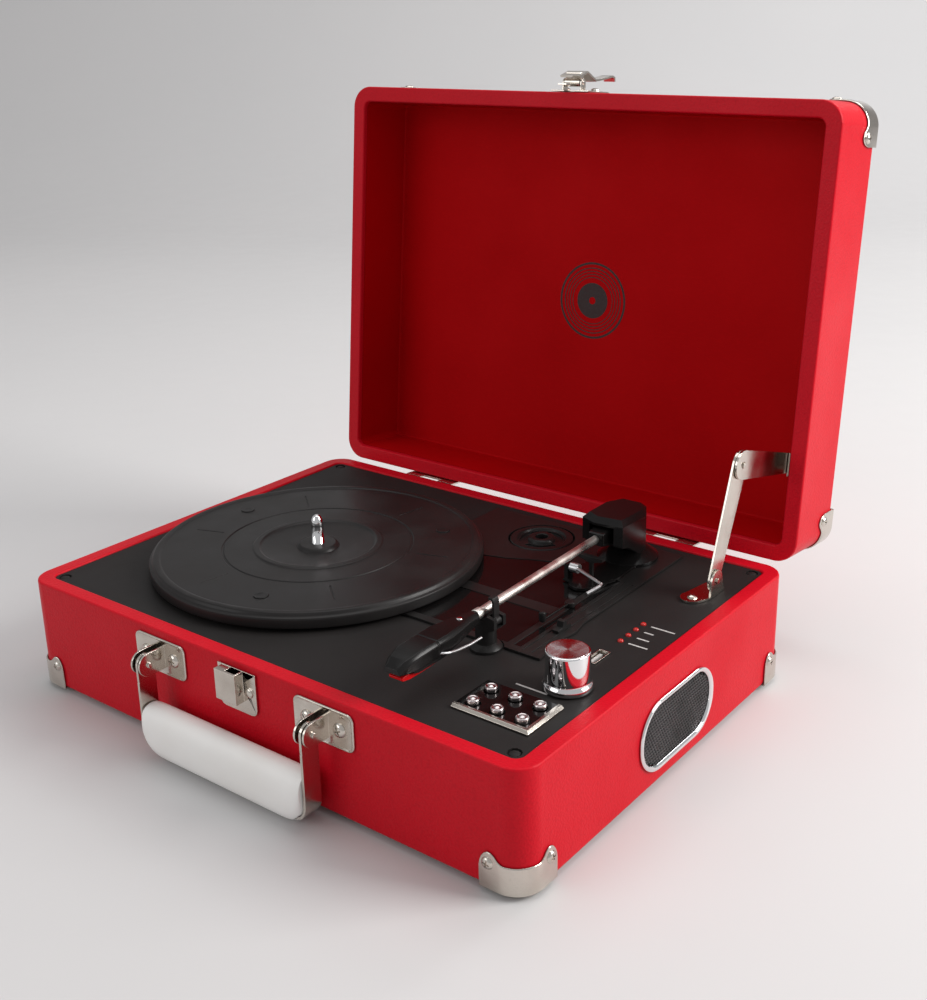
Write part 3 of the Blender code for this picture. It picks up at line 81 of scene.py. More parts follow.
ARM_X = 91.2
ARM_Y = 93.0
REST_Y = -45.0
REST_HOLE_R = 9.2
LIFT_BAR_Y = 53.5
LIFT_BAR_R = 1.9
TUBE_R = 2.3
TUBE_BACK = (58.0, 86.8)
TUBE_FRONT = (-54.0, 84.2)
ARM_LIFT_Y = 80.0
ARM_LIFT_Z = 85.0
SELECTOR_X = 101.0
SELECTOR_Y = 17.0

KNOB_X = 147.2
KNOB_Y = -54.7
KNOB_R = 11.1
BUTTON_R = 3.25
BUTTON_XS = (121.1, 135.1, 149.2)
BUTTON_YS = (-80.5, -94.7)
LED_X = 142.8
LED_YS = (0.6, 8.2, 15.9, 23.5)
USB_X = 142.5
USB_Y = -21.0

STAY_X = 155.25
STAY_T = 1.4
STAY_KNEE_OPEN = (102.3, 131.1)

HANDLE_X = 59.0
HANDLE_PIN_Y = -141.3
HANDLE_PIN_Z = 49.5
STRAP_HALF = 5.5
SLOT_HALF = 5.9
EAR_R = 6.4
PLATE_MIDDLE_Z = 49.2
GRIP_Z = 12.8
GRIP_HALF_Y = 9.1
GRIP_HALF_Z = 14.5
SPEAKER_Y = 3.5
SPEAKER_Z = 27.5
SPEAKER_L = 74.0
SPEAKER_H = 39.5
SCREW_IN = 19.2
SCREW_RISE = 13.0
SIDES = ((-1, "left"), (1, "right"))

HINGE = Vector((0, HINGE_Y, HINGE_Z)) * MM
TURN = Matrix.Rotation(math.radians(-LID_OPEN_DEG), 4, "X")
LID = CASE @ Matrix.Translation(HINGE) @ TURN @ Matrix.Translation(-HINGE)


# ---------------------------------------------------------------- materials


class Look:
    """A Principled material whose colour, roughness and bump come from noise in object space."""

    def __init__(self, name, colour, roughness, metallic=0.0, **sockets):
        self.material = bpy.data.materials.new(name)
        self.material.use_nodes = True
        self.nodes = self.material.node_tree.nodes
        self.links = self.material.node_tree.links
        self.shader = self.nodes["Principled BSDF"]
        self.shader.inputs["Base Color"].default_value = (*colour, 1)
        self.shader.inputs["Roughness"].default_value = roughness
        self.shader.inputs["Metallic"].default_value = metallic
        for key, value in sockets.items():
            self.shader.inputs[key.replace("_", " ")].default_value = value
        self.place = self.nodes.new("ShaderNodeTexCoord").outputs["Object"]
        self.colour = None
        self.first = colour
        self.bump_before = None

    def node(self, kind, **values):
        made = self.nodes.new(kind)
        for key, value in values.items():
            setattr(made, key, value)
        return made

    def stretched(self, scale):
        """The object coordinates, scaled on each axis."""
        made = self.node("ShaderNodeMapping")
        made.inputs["Scale"].default_value = scale
        self.links.new(self.place, made.inputs["Vector"])
        return made.outputs["Vector"]

    def noise(self, scale, detail=3.0, place=None, rough=0.5):
        made = self.node("ShaderNodeTexNoise")
        made.inputs["Scale"].default_value = scale
        made.inputs["Detail"].default_value = detail
        made.inputs["Roughness"].default_value = rough
        self.links.new(place or self.place, made.inputs["Vector"])
        return made.outputs["Fac"]

    def cells(self, scale, feature="F1", place=None):
        made = self.node("ShaderNodeTexVoronoi", feature=feature)
        made.inputs["Scale"].default_value = scale
        self.links.new(place or self.place, made.inputs["Vector"])
        return made.outputs["Distance"]

    def ranged(self, fac, low, high, to_low, to_high):
        made = self.node("ShaderNodeMapRange")
        ends = {"From Min": low, "From Max": high, "To Min": to_low, "To Max": to_high}
        for key, value in ends.items():
            made.inputs[key].default_value = value
        self.links.new(fac, made.inputs["Value"])
        return made.outputs["Result"]

    def tint(self, fac, colour, amount=1.0, low=0.0, high=1.0):
        """Mixes a colour in where the factor is high."""
        mix = self.node("ShaderNodeMix", data_type="RGBA")
        mix.inputs[7].default_value = (*colour, 1)
        self.links.new(self.ranged(fac, low, high, 0.0, amount), mix.inputs[0])
        if self.colour is None:
            mix.inputs[6].default_value = (*self.first, 1)
        else:
            self.links.new(self.colour, mix.inputs[6])
        self.colour = mix.outputs[2]
        self.links.new(self.colour, self.shader.inputs["Base Color"])
        return self

    def rough(self, fac, low, high, start=0.3, end=0.7):
        self.links.new(self.ranged(fac, start, end, low, high), self.shader.inputs["Roughness"])
        return self

    def bump(self, height, depth_mm, strength=1.0):
        made = self.node("ShaderNodeBump")
        made.inputs["Distance"].default_value = depth_mm * MM
        made.inputs["Strength"].default_value = strength
        self.links.new(height, made.inputs["Height"])
        if self.bump_before:
            self.links.new(self.bump_before, made.inputs["Normal"])
        self.bump_before = made.outputs["Normal"]
        self.links.new(self.bump_before, self.shader.inputs["Normal"])
        return self


def leather(name, colour, worn, roughness=0.40, depth=0.17):
    """Red coated paper: small raised grain with fine wrinkles, faint blotches."""
    look = Look(name, colour, roughness, Specular_IOR_Level=0.13)
    grain = look.cells(950.0, "SMOOTH_F1")
    fine = look.noise(2600.0, 3.0)
    blotch = look.noise(14.0, 4.0)
    look.tint(blotch, worn, 0.5, 0.40, 0.72)
    look.tint(grain, tuple(c * 0.55 for c in colour), 0.22, 0.35, 0.75)
    look.rough(blotch, roughness - 0.07, roughness + 0.10)
    look.bump(grain, depth, 0.75)
    look.bump(fine, 0.03, 0.5)
    return look.material


def plastic(name, colour, dust, roughness, scale=420.0, depth=0.03, **sockets):
    """Moulded plastic: fine spark-eroded texture, uneven gloss, a little dust."""
    sockets.setdefault("Specular_IOR_Level", 0.22)
    look = Look(name, colour, roughness, **sockets)
    texture = look.noise(scale * 6, 2.0)
    patch = look.noise(28.0, 4.0)
    specks = look.noise(900.0, 2.0, rough=0.7)
    look.tint(patch, dust, 0.30, 0.42, 0.75)
    look.tint(specks, dust, 0.45, 0.66, 0.80)
    look.rough(patch, roughness * 0.8, roughness * 1.25)
    look.bump(texture, depth, 0.6)
    return look.material


def metal(name, colour, dull, roughness, brushed=None, depth=0.01):
    """Plated or polished metal with smudges and hairline marks."""
    look = Look(name, colour, roughness, 1.0)
    smudge = look.noise(55.0, 4.0)
    marks = look.noise(180.0, 3.0, look.stretched(brushed or (1.0, 9.0, 9.0)))
    look.tint(smudge, dull, 0.55, 0.45, 0.75)
    look.tint(marks, dull, 0.30, 0.55, 0.75)
    look.rough(smudge, roughness * 0.75, roughness * 1.7)
    look.bump(marks, depth, 0.35)
    return look.material


def pale_vinyl():
    """The grip's soft off-white skin: a faint grain and slightly yellowed patches."""
    look = Look("pale_grip", (0.90, 0.885, 0.865), 0.42, Specular_IOR_Level=0.35)
    patch = look.noise(22.0, 3.0)
    look.tint(patch, (0.84, 0.815, 0.78), 0.7, 0.40, 0.70)
    look.rough(patch, 0.36, 0.50)
    look.bump(look.noise(1900.0, 2.0), 0.02, 0.5)
    return look.material


def lining():
    """The lid's paper lining: smooth, faintly fibrous, a little uneven."""
    look = Look("lid_lining", (0.46, 0.0003, 0.0020), 0.62, Specular_IOR_Level=0.06)
    fibre = look.noise(900.0, 4.0, look.stretched((0.35, 1.0, 1.0)))
    cloud = look.noise(9.0, 4.0)
    look.tint(cloud, (0.36, 0.0002, 0.0016), 0.8, 0.35, 0.75)
    look.tint(fibre, (0.54, 0.0006, 0.003), 0.35, 0.5, 0.8)
    look.rough(cloud, 0.55, 0.72)
    look.bump(fibre, 0.04, 0.5)
    return look.material


def deck_skin():
    """The deck's charcoal sheet with a fine leather grain."""
    look = Look("deck_skin", (0.0155, 0.0138, 0.0135), 0.55, Specular_IOR_Level=0.16)
    grain = look.cells(1500.0, "SMOOTH_F1")
    wide = look.noise(20.0, 5.0)
    fine = look.noise(3200.0, 2.0)
    look.tint(wide, (0.023, 0.0205, 0.020), 0.6, 0.35, 0.75)
    look.tint(fine, (0.036, 0.033, 0.032), 0.35, 0.58, 0.75)
    look.rough(wide, 0.48, 0.66)
    look.bump(grain, 0.06, 0.6)
    look.bump(fine, 0.02, 0.4)
    return look.material


def turned_chrome():
    """A lathe-cut chrome face: rings round the knob's axis and a radial sheen."""
    look = Look("turned_chrome", (0.80, 0.80, 0.81), 0.22, 1.0, Anisotropic=0.85)
    tangent = look.node("ShaderNodeTangent", direction_type="RADIAL", axis="Z")
    look.links.new(tangent.outputs["Tangent"], look.shader.inputs["Tangent"])
    rings = look.node("ShaderNodeTexWave", wave_type="RINGS", rings_direction="SPHERICAL")
    rings.inputs["Scale"].default_value = 1500.0
    centre = look.node("ShaderNodeMapping")
    spot = CASE @ (Vector((KNOB_X, KNOB_Y, DECK_TOP + 20.4)) * MM)
    centre.inputs["Location"].default_value = tuple(-v for v in spot)
    look.links.new(look.place, centre.inputs["Vector"])
    look.links.new(centre.outputs["Vector"], rings.inputs["Vector"])
    smudge = look.noise(120.0, 3.0)
    look.tint(smudge, (0.62, 0.62, 0.64), 0.5, 0.4, 0.75)
    look.rough(smudge, 0.18, 0.30)
    look.bump(rings.outputs["Fac"], 0.01, 0.5)
    return look.material


def lamp_red_painted_glow():
    """A clear red lamp, unlit, with a faint painted glow from its emission standing in for the light its
    lens gathers.
    """
    look = Look("lamp_red_painted_glow", (0.42, 0.016, 0.012), 0.25)
    # Painted glow: the unlit lamp emits a little red light.
    look.shader.inputs["Emission Color"].default_value = (1.0, 0.05, 0.03, 1)
    look.shader.inputs["Emission Strength"].default_value = 0.03
    cloud = look.noise(600.0, 2.0)
    look.tint(cloud, (0.55, 0.01, 0.01), 0.6, 0.4, 0.7)
    look.rough(cloud, 0.12, 0.3)
    return look.material


def ink(name, colour):
    """A thin printed film, slightly patchy."""
    look = Look(name, colour, 0.6)
    patch = look.noise(700.0, 4.0)
    look.tint(patch, tuple(min(1.0, c * 1.7 + 0.006) for c in colour), 0.7, 0.45, 0.75)
    look.rough(patch, 0.5, 0.75)
    look.bump(patch, 0.01, 0.4)
    return look.material


def belt_rubber():
    look = Look("belt_rubber", (0.016, 0.015, 0.015), 0.85)
    powder = look.noise(240.0, 4.0)
    look.tint(powder, (0.055, 0.052, 0.05), 0.6, 0.45, 0.8)
    look.rough(powder, 0.75, 0.95)
    look.bump(powder, 0.05, 0.5)
    return look.material


def board_green():
    look = Look("board_green", (0.012, 0.10, 0.035), 0.42)
    tracks = look.cells(260.0, "DISTANCE_TO_EDGE", look.stretched((1.0, 1.0, 0.2)))
    look.tint(tracks, (0.006, 0.055, 0.02), 0.8, 0.05, 0.22)
    look.rough(look.noise(50.0), 0.34, 0.55)
    look.bump(tracks, 0.04, 0.5)
    return look.material


RED = leather("red_leatherette", (0.575, 0.0045, 0.0150), (0.49, 0.003, 0.011))
LINING = lining()
DECK = deck_skin()
SATIN = plastic("satin_black", (0.0105, 0.010, 0.010), (0.026, 0.024, 0.023), 0.36)
GLOSS = plastic("gloss_black", (0.006, 0.0055, 0.0055), (0.014, 0.012, 0.012), 0.12, depth=0.006)
ARM_BLACK = plastic("arm_black", (0.0065, 0.006, 0.006), (0.014, 0.013, 0.0125), 0.22, depth=0.012)
PLATE_BLACK = plastic("plate_black", (0.014, 0.013, 0.0128), (0.024, 0.022, 0.021), 0.34, depth=0.02)
PLATTER_SKIN = plastic("platter_black", (0.0125, 0.0115, 0.0115), (0.030, 0.027, 0.026), 0.38, 300.0)
NICKEL = metal("nickel_plate", (0.66, 0.61, 0.55), (0.42, 0.38, 0.33), 0.15)
CHROME = metal("chrome_plate", (0.86, 0.86, 0.87), (0.70, 0.70, 0.71), 0.055)
STEEL = metal("bare_steel", (0.56, 0.56, 0.57), (0.36, 0.35, 0.34), 0.30)
# Darker satin chrome for the button caps; its pink tint is a painted reflection of the red lid.
CAP_CHROME_PAINTED_REFLECTION = metal("cap_chrome_painted_reflection", (0.62, 0.56, 0.56), (0.40, 0.36, 0.36), 0.20)
TUBE_CHROME = metal("tube_chrome", (0.88, 0.85, 0.80), (0.72, 0.69, 0.64), 0.30, (9.0, 1.0, 9.0))
BRASS = metal("turned_brass", (0.72, 0.50, 0.20), (0.48, 0.32, 0.13), 0.25)
TURNED = turned_chrome()
RUBBER = belt_rubber()
BOARD = board_green()
GRIP = pale_vinyl()
STYLUS_RED = plastic("stylus_red", (0.50, 0.006, 0.008), (0.34, 0.004, 0.006), 0.25)
MESH = metal("black_mesh", (0.075, 0.072, 0.073), (0.04, 0.039, 0.039), 0.36)
LAMP = lamp_red_painted_glow()
PALE_INK = ink("pale_ink", (0.42, 0.40, 0.39))
DARK_INK = ink("dark_ink", (0.020, 0.004, 0.004))
CONE = plastic("cone_paper", (0.016, 0.015, 0.014), (0.04, 0.036, 0.032), 0.8, 200.0, 0.08)


# ---------------------------------------------------------------- drawing


def arc(cx, cy, r, start, end, steps):
    """Points on an arc, angles in degrees."""
    turn = [math.radians(start + (end - start) * i / steps) for i in range(steps + 1)]
    return [(cx + r * math.cos(a), cy + r * math.sin(a)) for a in turn]


def rounded(w, d, r, steps=16, cx=0.0, cy=0.0):
    """A rectangle with round corners, anticlockwise."""
    x = w / 2 - r
    y = d / 2 - r
    points = []
    for i, (sx, sy) in enumerate(((1, 1), (-1, 1), (-1, -1), (1, -1))):
        points += arc(cx + sx * x, cy + sy * y, r, 90 * i, 90 * i + 90, steps)
    return points


def racetrack(length, height, steps=24, cx=0.0, cy=0.0):
    """A rectangle whose short sides bulge as arcs, close to the shape of an oval speaker."""
    return rounded(length, height, height / 2 * 0.96, steps // 2, cx, cy)


def loft(bm, loops, closed=False):
    """Skins a row of loops that have the same number of points."""
    rings = [[bm.verts.new(p) for p in loop] for loop in loops]
    count = len(rings[0])
    pairs = list(zip(rings, rings[1:]))
    if closed:
        pairs.append((rings[-1], rings[0]))
    for low, high in pairs:
        for i in range(count):
            j = (i + 1) % count
            bm.faces.new((low[i], low[j], high[j], high[i]))
    if not closed:
        bm.faces.new(list(reversed(rings[0])))
        bm.faces.new(rings[-1])


def spread(points, axis, value):
    """Lays 2D points on the plane that stands at a value along an axis."""
    if axis == "x":
        return [(value, a, b) for a, b in points]
    if axis == "y":
        return [(a, value, b) for a, b in points]
    return [(a, b, value) for a, b in points]


def prism(bm, points, axis, low, high):
    loft(bm, [spread(points, axis, low), spread(points, axis, high)])


def box(bm, low, high):
    corners = [(low[0], low[1]), (high[0], low[1]), (high[0], high[1]), (low[0], high[1])]
    prism(bm, corners, "z", low[2], high[2])


def turned(bm, profile, centre, axis="z", steps=48, closed=False):
    """Turns a profile of (radius, height) round an axis through the centre."""
    ca = {"x": (1, 2), "y": (0, 2), "z": (0, 1)}[axis]
    along = {"x": 0, "y": 1, "z": 2}[axis]
    rings = []
    for r, h in profile:
        ring = []
        for i in range(steps if r > 0 else 1):
            a = 2 * math.pi * i / steps
            p = list(centre)
            p[ca[0]] += r * math.cos(a)
            p[ca[1]] += r * math.sin(a)
            p[along] += h
            ring.append(bm.verts.new(p))
        rings.append(ring)
    pairs = list(zip(rings, rings[1:]))
    if closed:
        pairs.append((rings[-1], rings[0]))
    for low, high in pairs:
        for i in range(steps):
            j = (i + 1) % steps
            corners = [low[i % len(low)], low[j % len(low)], high[j % len(high)], high[i % len(high)]]
            bm.faces.new(list(dict.fromkeys(corners)))
    if not closed:
        for ring, first in ((rings[0], True), (rings[-1], False)):
            if len(ring) > 1:
                bm.faces.new(list(reversed(ring)) if first else ring)


def rod(bm, centre, axis, low, high, r, steps=24):
    turned(bm, [(r, low), (r, high)], centre, axis, steps)


def strip(points, thick):
    """The outline of a bent sheet, drawn as its middle line and its thickness."""
    path = [Vector(p) for p in points]
    left = []
    right = []
    for i, p in enumerate(path):
        back = (p - path[i - 1]).normalized() if i else None
        ahead = (path[i + 1] - p).normalized() if i + 1 < len(path) else None
        back = back or ahead
        ahead = ahead or back
        normal = Vector((-back.y - ahead.y, back.x + ahead.x)).normalized()
        reach = thick / 2 / max(0.3, normal.dot(Vector((-back.y, back.x))))
        left.append(tuple(p + normal * reach))
        right.append(tuple(p - normal * reach))
    return right + left[::-1]


def smooth_path(points, steps=5):
    """More points on a curve through the given ones."""
    out = []
    last = len(points) - 1
    for i in range(last):
        p0, p1, p2, p3 = (Vector(points[max(0, min(last, i + k))]) for k in (-1, 0, 1, 2))
        for s in range(steps):
            t = s / steps
            out.append(tuple(0.5 * (
                2 * p1 + (p2 - p0) * t + (2 * p0 - 5 * p1 + 4 * p2 - p3) * t * t
                + (3 * p1 - p0 - 3 * p2 + p3) * t * t * t
            )))
    return out + [tuple(points[-1])]


def capsule(a, b, ra, rb, steps=16):
    """The outline of two circles joined by their outer tangents."""
    ax, ay = a
    bx, by = b
    span = math.hypot(bx - ax, by - ay)
    heading = math.atan2(by - ay, bx - ax)
    lean = math.acos((ra - rb) / span)
    start = math.degrees(heading + lean)
    end = math.degrees(heading - lean) + 360
    return arc(ax, ay, ra, start, end, steps) + arc(bx, by, rb, end - 360, start, steps)


# ---------------------------------------------------------------- objects


def mesh_object(name, bm, where):
    """An object from a mesh drawn in millimetres in the case frame."""
    bmesh.ops.recalc_face_normals(bm, faces=bm.faces[:])
    bmesh.ops.scale(bm, vec=(MM, MM, MM), verts=bm.verts[:])
    bm.transform(where)
    mesh = bpy.data.meshes.new(name)
    bm.to_mesh(mesh)
    bm.free()
    made = bpy.data.objects.new(name, mesh)
    bpy.context.scene.collection.objects.link(made)
    return made


def boolean(target, bm, where=CASE, operation="DIFFERENCE"):
    """Cuts or joins a solid drawn in the case frame, and keeps only the result."""
    tool = mesh_object("tool", bm, where)
    step = target.modifiers.new("cut", "BOOLEAN")
    step.operation = operation
    step.object = tool
    step.solver = "EXACT"
    graph = bpy.context.evaluated_depsgraph_get()
    done = bpy.data.meshes.new_from_object(target.evaluated_get(graph))
    old = target.data
    target.modifiers.clear()
    target.data = done
    bpy.data.meshes.remove(old)
    tool_mesh = tool.data
    bpy.data.objects.remove(tool)
    bpy.data.meshes.remove(tool_mesh)


def solid(name, fill, *shape, where=CASE, **options):
    """A new object holding one shape: fill draws it from the values in shape."""
    bm = bmesh.new()
    fill(bm, *shape, **options)
    return mesh_object(name, bm, where)


def carve(target, fill, *shape, where=CASE, operation="DIFFERENCE"):
    """Cuts one drawn shape out of the target, or joins it on."""
    bm = bmesh.new()
    fill(bm, *shape)
    boolean(target, bm, where, operation)


def round_off(obj, width, angle=35.0, segments=2):
    """Small round edges and even shading over flat faces."""
    obj.data.shade_smooth()
    flat = obj.modifiers.new("flat", "DECIMATE")
    flat.decimate_type = "DISSOLVE"
    flat.angle_limit = math.radians(0.6)
    if width:
        edge = obj.modifiers.new("edge", "BEVEL")
        edge.width = width * MM
        edge.segments = segments
        edge.limit_method = "ANGLE"
        edge.angle_limit = math.radians(angle)
        edge.use_clamp_overlap = True
    even = obj.modifiers.new("even", "WEIGHTED_NORMAL")
    even.keep_sharp = True


def piece(obj, look, body, nodes=(), edge=0.25, angle=35.0):
    """Finishes a new piece: material, soft edges, body, and the nodes that it stands for."""
    obj.data.materials.clear()
    obj.data.materials.append(look)
    round_off(obj, edge, angle)
    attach(obj, body)
    if nodes:
        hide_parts(*nodes)
    return obj


def dress(look, edge, *names):
    """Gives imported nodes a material, welded faces and small round edges."""
    for name in names:
        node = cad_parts[name]
        node.data.materials.clear()
        node.data.materials.append(look)
        for extra in [a.name for a in node.data.attributes if a.name == "custom_normal"]:
            node.data.attributes.remove(node.data.attributes[extra])
        weld = node.modifiers.new("weld", "WELD")
        weld.merge_threshold = 0.00001
        round_off(node, edge)


# ---------------------------------------------------------------- case and lid


def base_walls():
    """The box's four walls, wrapped in red, open at the speakers and the rear sockets."""
    inner_w = CASE_W - 2 * WALL
    inner_d = CASE_D - 2 * WALL
    ledge = DECK_TOP - DECK_THICK - GAP
    rows = [
        (CASE_W - 2.4, CASE_D - 2.4, CORNER_R - 1.0, 0.0), (CASE_W - 0.8, CASE_D - 0.8, CORNER_R, 0.5),
        (CASE_W, CASE_D, CORNER_R, 1.8), (CASE_W, CASE_D, CORNER_R, BASE_H - 1.5),
        (CASE_W - 0.15, CASE_D - 0.15, CORNER_R, BASE_H - 0.95),
        (CASE_W - 0.6, CASE_D - 0.6, CORNER_R - 0.3, BASE_H - 0.42),
        (CASE_W - 1.4, CASE_D - 1.4, CORNER_R - 0.7, BASE_H - 0.1),
        (CASE_W - 2.4, CASE_D - 2.4, CORNER_R - 1.2, BASE_H),
        (inner_w + 2.4, inner_d + 2.4, 5.6, BASE_H), (inner_w + 1.0, inner_d + 1.0, 5.0, BASE_H - 0.25),
        (inner_w, inner_d, 4.6, BASE_H - 1.0), (inner_w, inner_d, 4.6, ledge),
        (inner_w - 10, inner_d - 10, 4.6, ledge), (inner_w - 10, inner_d - 10, 4.6, ledge - 8.7),
        (inner_w, inner_d, 4.6, ledge - 8.7), (inner_w, inner_d, 4.6, 0.0),
    ]
    loops = [spread(rounded(w, d, r), "z", z) for w, d, r, z in rows]
    case = solid("case_walls", loft, loops, closed=True)
    outline = racetrack(SPEAKER_L - 5.0, SPEAKER_H - 5.0, cx=SPEAKER_Y, cy=SPEAKER_Z)
    for side in (-1, 1):
        carve(case, prism, outline, "x", side * (CASE_W / 2 + 4), side * (CASE_W / 2 - WALL - 4))
    carve(case, box, (-36, CASE_D / 2 - WALL - 4, 17), (36, CASE_D / 2 + 4, 35))
    piece(case, RED, "case", ["base_case"], 0.0)


def lid_tray():
    """The lid's shell, wrapped in red to just inside its rim."""
    inner_w = CASE_W - 2 * WALL - 0.6
    inner_d = CASE_D - 2 * WALL - 0.6
    rows = [
        (inner_w, inner_d, 4.6, LID_TOP - LID_SKIN), (inner_w, inner_d, 4.6, LID_RIM + 1.2),
        (inner_w + 1.0, inner_d + 1.0, 5.0, LID_RIM + 0.3),
        (inner_w + 2.2, inner_d + 2.2, 5.6, LID_RIM),
        (CASE_W - 2.4, CASE_D - 2.4, CORNER_R - 1.2, LID_RIM),
        (CASE_W - 1.4, CASE_D - 1.4, CORNER_R - 0.7, LID_RIM + 0.1),
        (CASE_W - 0.6, CASE_D - 0.6, CORNER_R - 0.3, LID_RIM + 0.42),
        (CASE_W - 0.15, CASE_D - 0.15, CORNER_R, LID_RIM + 0.95),
        (CASE_W, CASE_D, CORNER_R, LID_RIM + 1.5),
        (CASE_W, CASE_D, CORNER_R, LID_TOP - 3.0),
        (CASE_W - 0.5, CASE_D - 0.5, CORNER_R, LID_TOP - 1.6),
        (CASE_W - 1.8, CASE_D - 1.8, CORNER_R - 0.6, LID_TOP - 0.5),
        (CASE_W - 4.4, CASE_D - 4.4, CORNER_R - 2, LID_TOP),
    ]
    tray = solid("lid_tray", loft, [spread(rounded(w, d, r), "z", z) for w, d, r, z in rows], where=LID)
    piece(tray, RED, "lid", ["lid_shell"], 0.0)


def lid_lining():
    """Paper on the lid's inner walls and panel, a fraction off the shell, with its cut edge."""
    inner_w = CASE_W - 2 * WALL - 0.6
    inner_d = CASE_D - 2 * WALL - 0.6
    floor_z = LID_TOP - LID_SKIN
    rows = [
        (inner_w - 0.06, inner_d - 0.06, 4.6, floor_z - 0.03),
        (inner_w - 0.06, inner_d - 0.06, 4.6, LID_RIM + 3.2),
        (inner_w - 0.5, inner_d - 0.5, 4.4, LID_RIM + 3.3),
        (inner_w - 0.7, inner_d - 0.7, 4.4, floor_z - 1.2),
        (inner_w - 2.2, inner_d - 2.2, 3.6, floor_z - 0.5),
        (inner_w - 4.2, inner_d - 4.2, 3.2, floor_z - 0.35),
    ]
    loops = [spread(rounded(w, d, r, 10), "z", z) for w, d, r, z in rows]
    lined = solid("lid_lining", loft, loops, where=LID)
    piece(lined, LINING, "lid", edge=0.0)


def ring(bm, outer, inner, z, thick, centre=(0, 0), steps=72):
    section = [(inner, z), (outer, z), (outer, z - thick), (inner, z - thick)]
    turned(bm, section, (*centre, 0), "z", steps, True)


def lid_emblem():
    """A plain printed record on the lid's inner panel: rings, a disc and a hole."""
    z = LID_TOP - LID_SKIN - 0.36
    bands = ((25.0, 23.6), (21.6, 20.9), (19.4, 18.9), (17.4, 16.9), (15.4, 14.9), (11.6, 2.4))
    for number, (outer, inner) in enumerate(bands, 1):
        band = solid(f"lid_print_{number}", ring, outer, inner, z, 0.05, where=LID)
        piece(band, DARK_INK, "lid", edge=0.0)


# ---------------------------------------------------------------- fittings


def screw_template(r=3.2, h=1.8):
    """A dome head with a cross recess, looking along +Z from the origin, in millimetres."""
    profile = [(r, 0.0), (r, h * 0.12), (r * 0.96, h * 0.34)]
    profile += [(r * 0.80, h * 0.68), (r * 0.52, h * 0.92), (0, h)]
    bm = bmesh.new()
    turned(bm, profile, (0, 0, 0), "z", 28)
    head = mesh_object("screw_head", bm, Matrix.Identity(4))
    for a, b in ((r * 0.56, 0.34), (0.34, r * 0.56)):
        carve(head, box, (-a, -b, h * 0.45), (a, b, h + 1), where=Matrix.Identity(4))
    return head


def screws(name, places, template, where, body):
    """Copies of the screw head at places of (point, direction, turn), as one piece."""
    bm = bmesh.new()
    for point, direction, turn in places:
        part = bmesh.new()
        part.from_mesh(template.data)
        aim = Vector(direction).to_track_quat("Z", "Y").to_matrix().to_4x4()
        step = Matrix.Translation(Vector(point) * MM) @ aim @ Matrix.Rotation(math.radians(turn), 4, "Z")
        part.transform(where @ step)
        mesh = bpy.data.meshes.new("part")
        part.to_mesh(mesh)
        part.free()
        bm.from_mesh(mesh)
        bpy.data.meshes.remove(mesh)
    mesh = bpy.data.meshes.new(name)
    bm.to_mesh(mesh)
    bm.free()
    made = bpy.data.objects.new(name, mesh)
    bpy.context.scene.collection.objects.link(made)
    return piece(made, NICKEL, body, edge=0.08)


def corner_path(offset, steps=22):
    """Plan points round one vertical corner of the case, pushed outward by an offset."""
    reach = 24.0
    cx = CASE_W / 2 - CORNER_R
    cy = -CASE_D / 2 + CORNER_R
    inward = (0.0, 0.5, 1.4, 2.8, 4.6, 6.4, 8.2, 9.4)
    first = [(CASE_W / 2 - reach + s, -CASE_D / 2 - offset) for s in inward]
    last = [(CASE_W / 2 + offset, -CASE_D / 2 + reach - s) for s in reversed(inward)]
    return first + arc(cx, cy, CORNER_R + offset, -90, 0, steps) + last


def ear_height(i, count):
    """Height of a protector at one of its stations: two round ears and a dip between them."""
    rise = (11.0, 13.6, 15.8, 17.5, 18.4, 18.2, 17.0, 15.6, 14.8, 14.2, 13.9)
    edge = min(i, count - 1 - i)
    return rise[edge] if edge < len(rise) else 13.8


def corner_protector(name, where, body, sx, sy, z0, up):
    """A pressed corner: a wall round the vertical corner and a lip under the panel."""
    outer = corner_path(GAP + 0.9)
    inner = corner_path(GAP)
    lip = corner_path(-5.0)
    loops = []
    for i, (o, n, p) in enumerate(zip(outer, inner, lip)):
        h = ear_height(i, len(outer))
        soft = corner_path(GAP + 0.45)[i]
        low = -GAP - 0.9
        loop = [(*n, h), (*soft, h + 0.1), (*o, h - 0.5), (*o, low + 0.9)]
        loop += [(*soft, low + 0.2), (*p, low), (*p, -GAP), (*n, -GAP)]
        loops.append([(sx * x, -sy * y, z0 + up * z) for x, y, z in loop])
    made = solid(f"{name}_pressed", loft, loops, where=where)
    piece(made, NICKEL, body, [name], 0.0)


def corner_protectors(template):
    for part, body, where, z0, up in (("base", "case", CASE, 0.0, 1), ("lid", "lid", LID, LID_TOP, -1)):
        places = []
        for sx, side in SIDES:
            for sy, end in ((-1, "front"), (1, "back")):
                corner_protector(f"{part}_corner_{end}_{side}", where, body, sx, sy, z0, up)
                z = z0 + up * SCREW_RISE
                face = GAP + 0.5
                turn = 20 + 37 * len(places)
                x = CASE_W / 2
                y = CASE_D / 2
                places.append(((sx * (x - SCREW_IN), sy * (y + face), z), (0, sy, 0), turn))
                places.append(((sx * (x + face), sy * (y - SCREW_IN), z), (sx, 0, 0), turn + 25))
        screws(f"{part}_corner_screws", places, template, where, body)


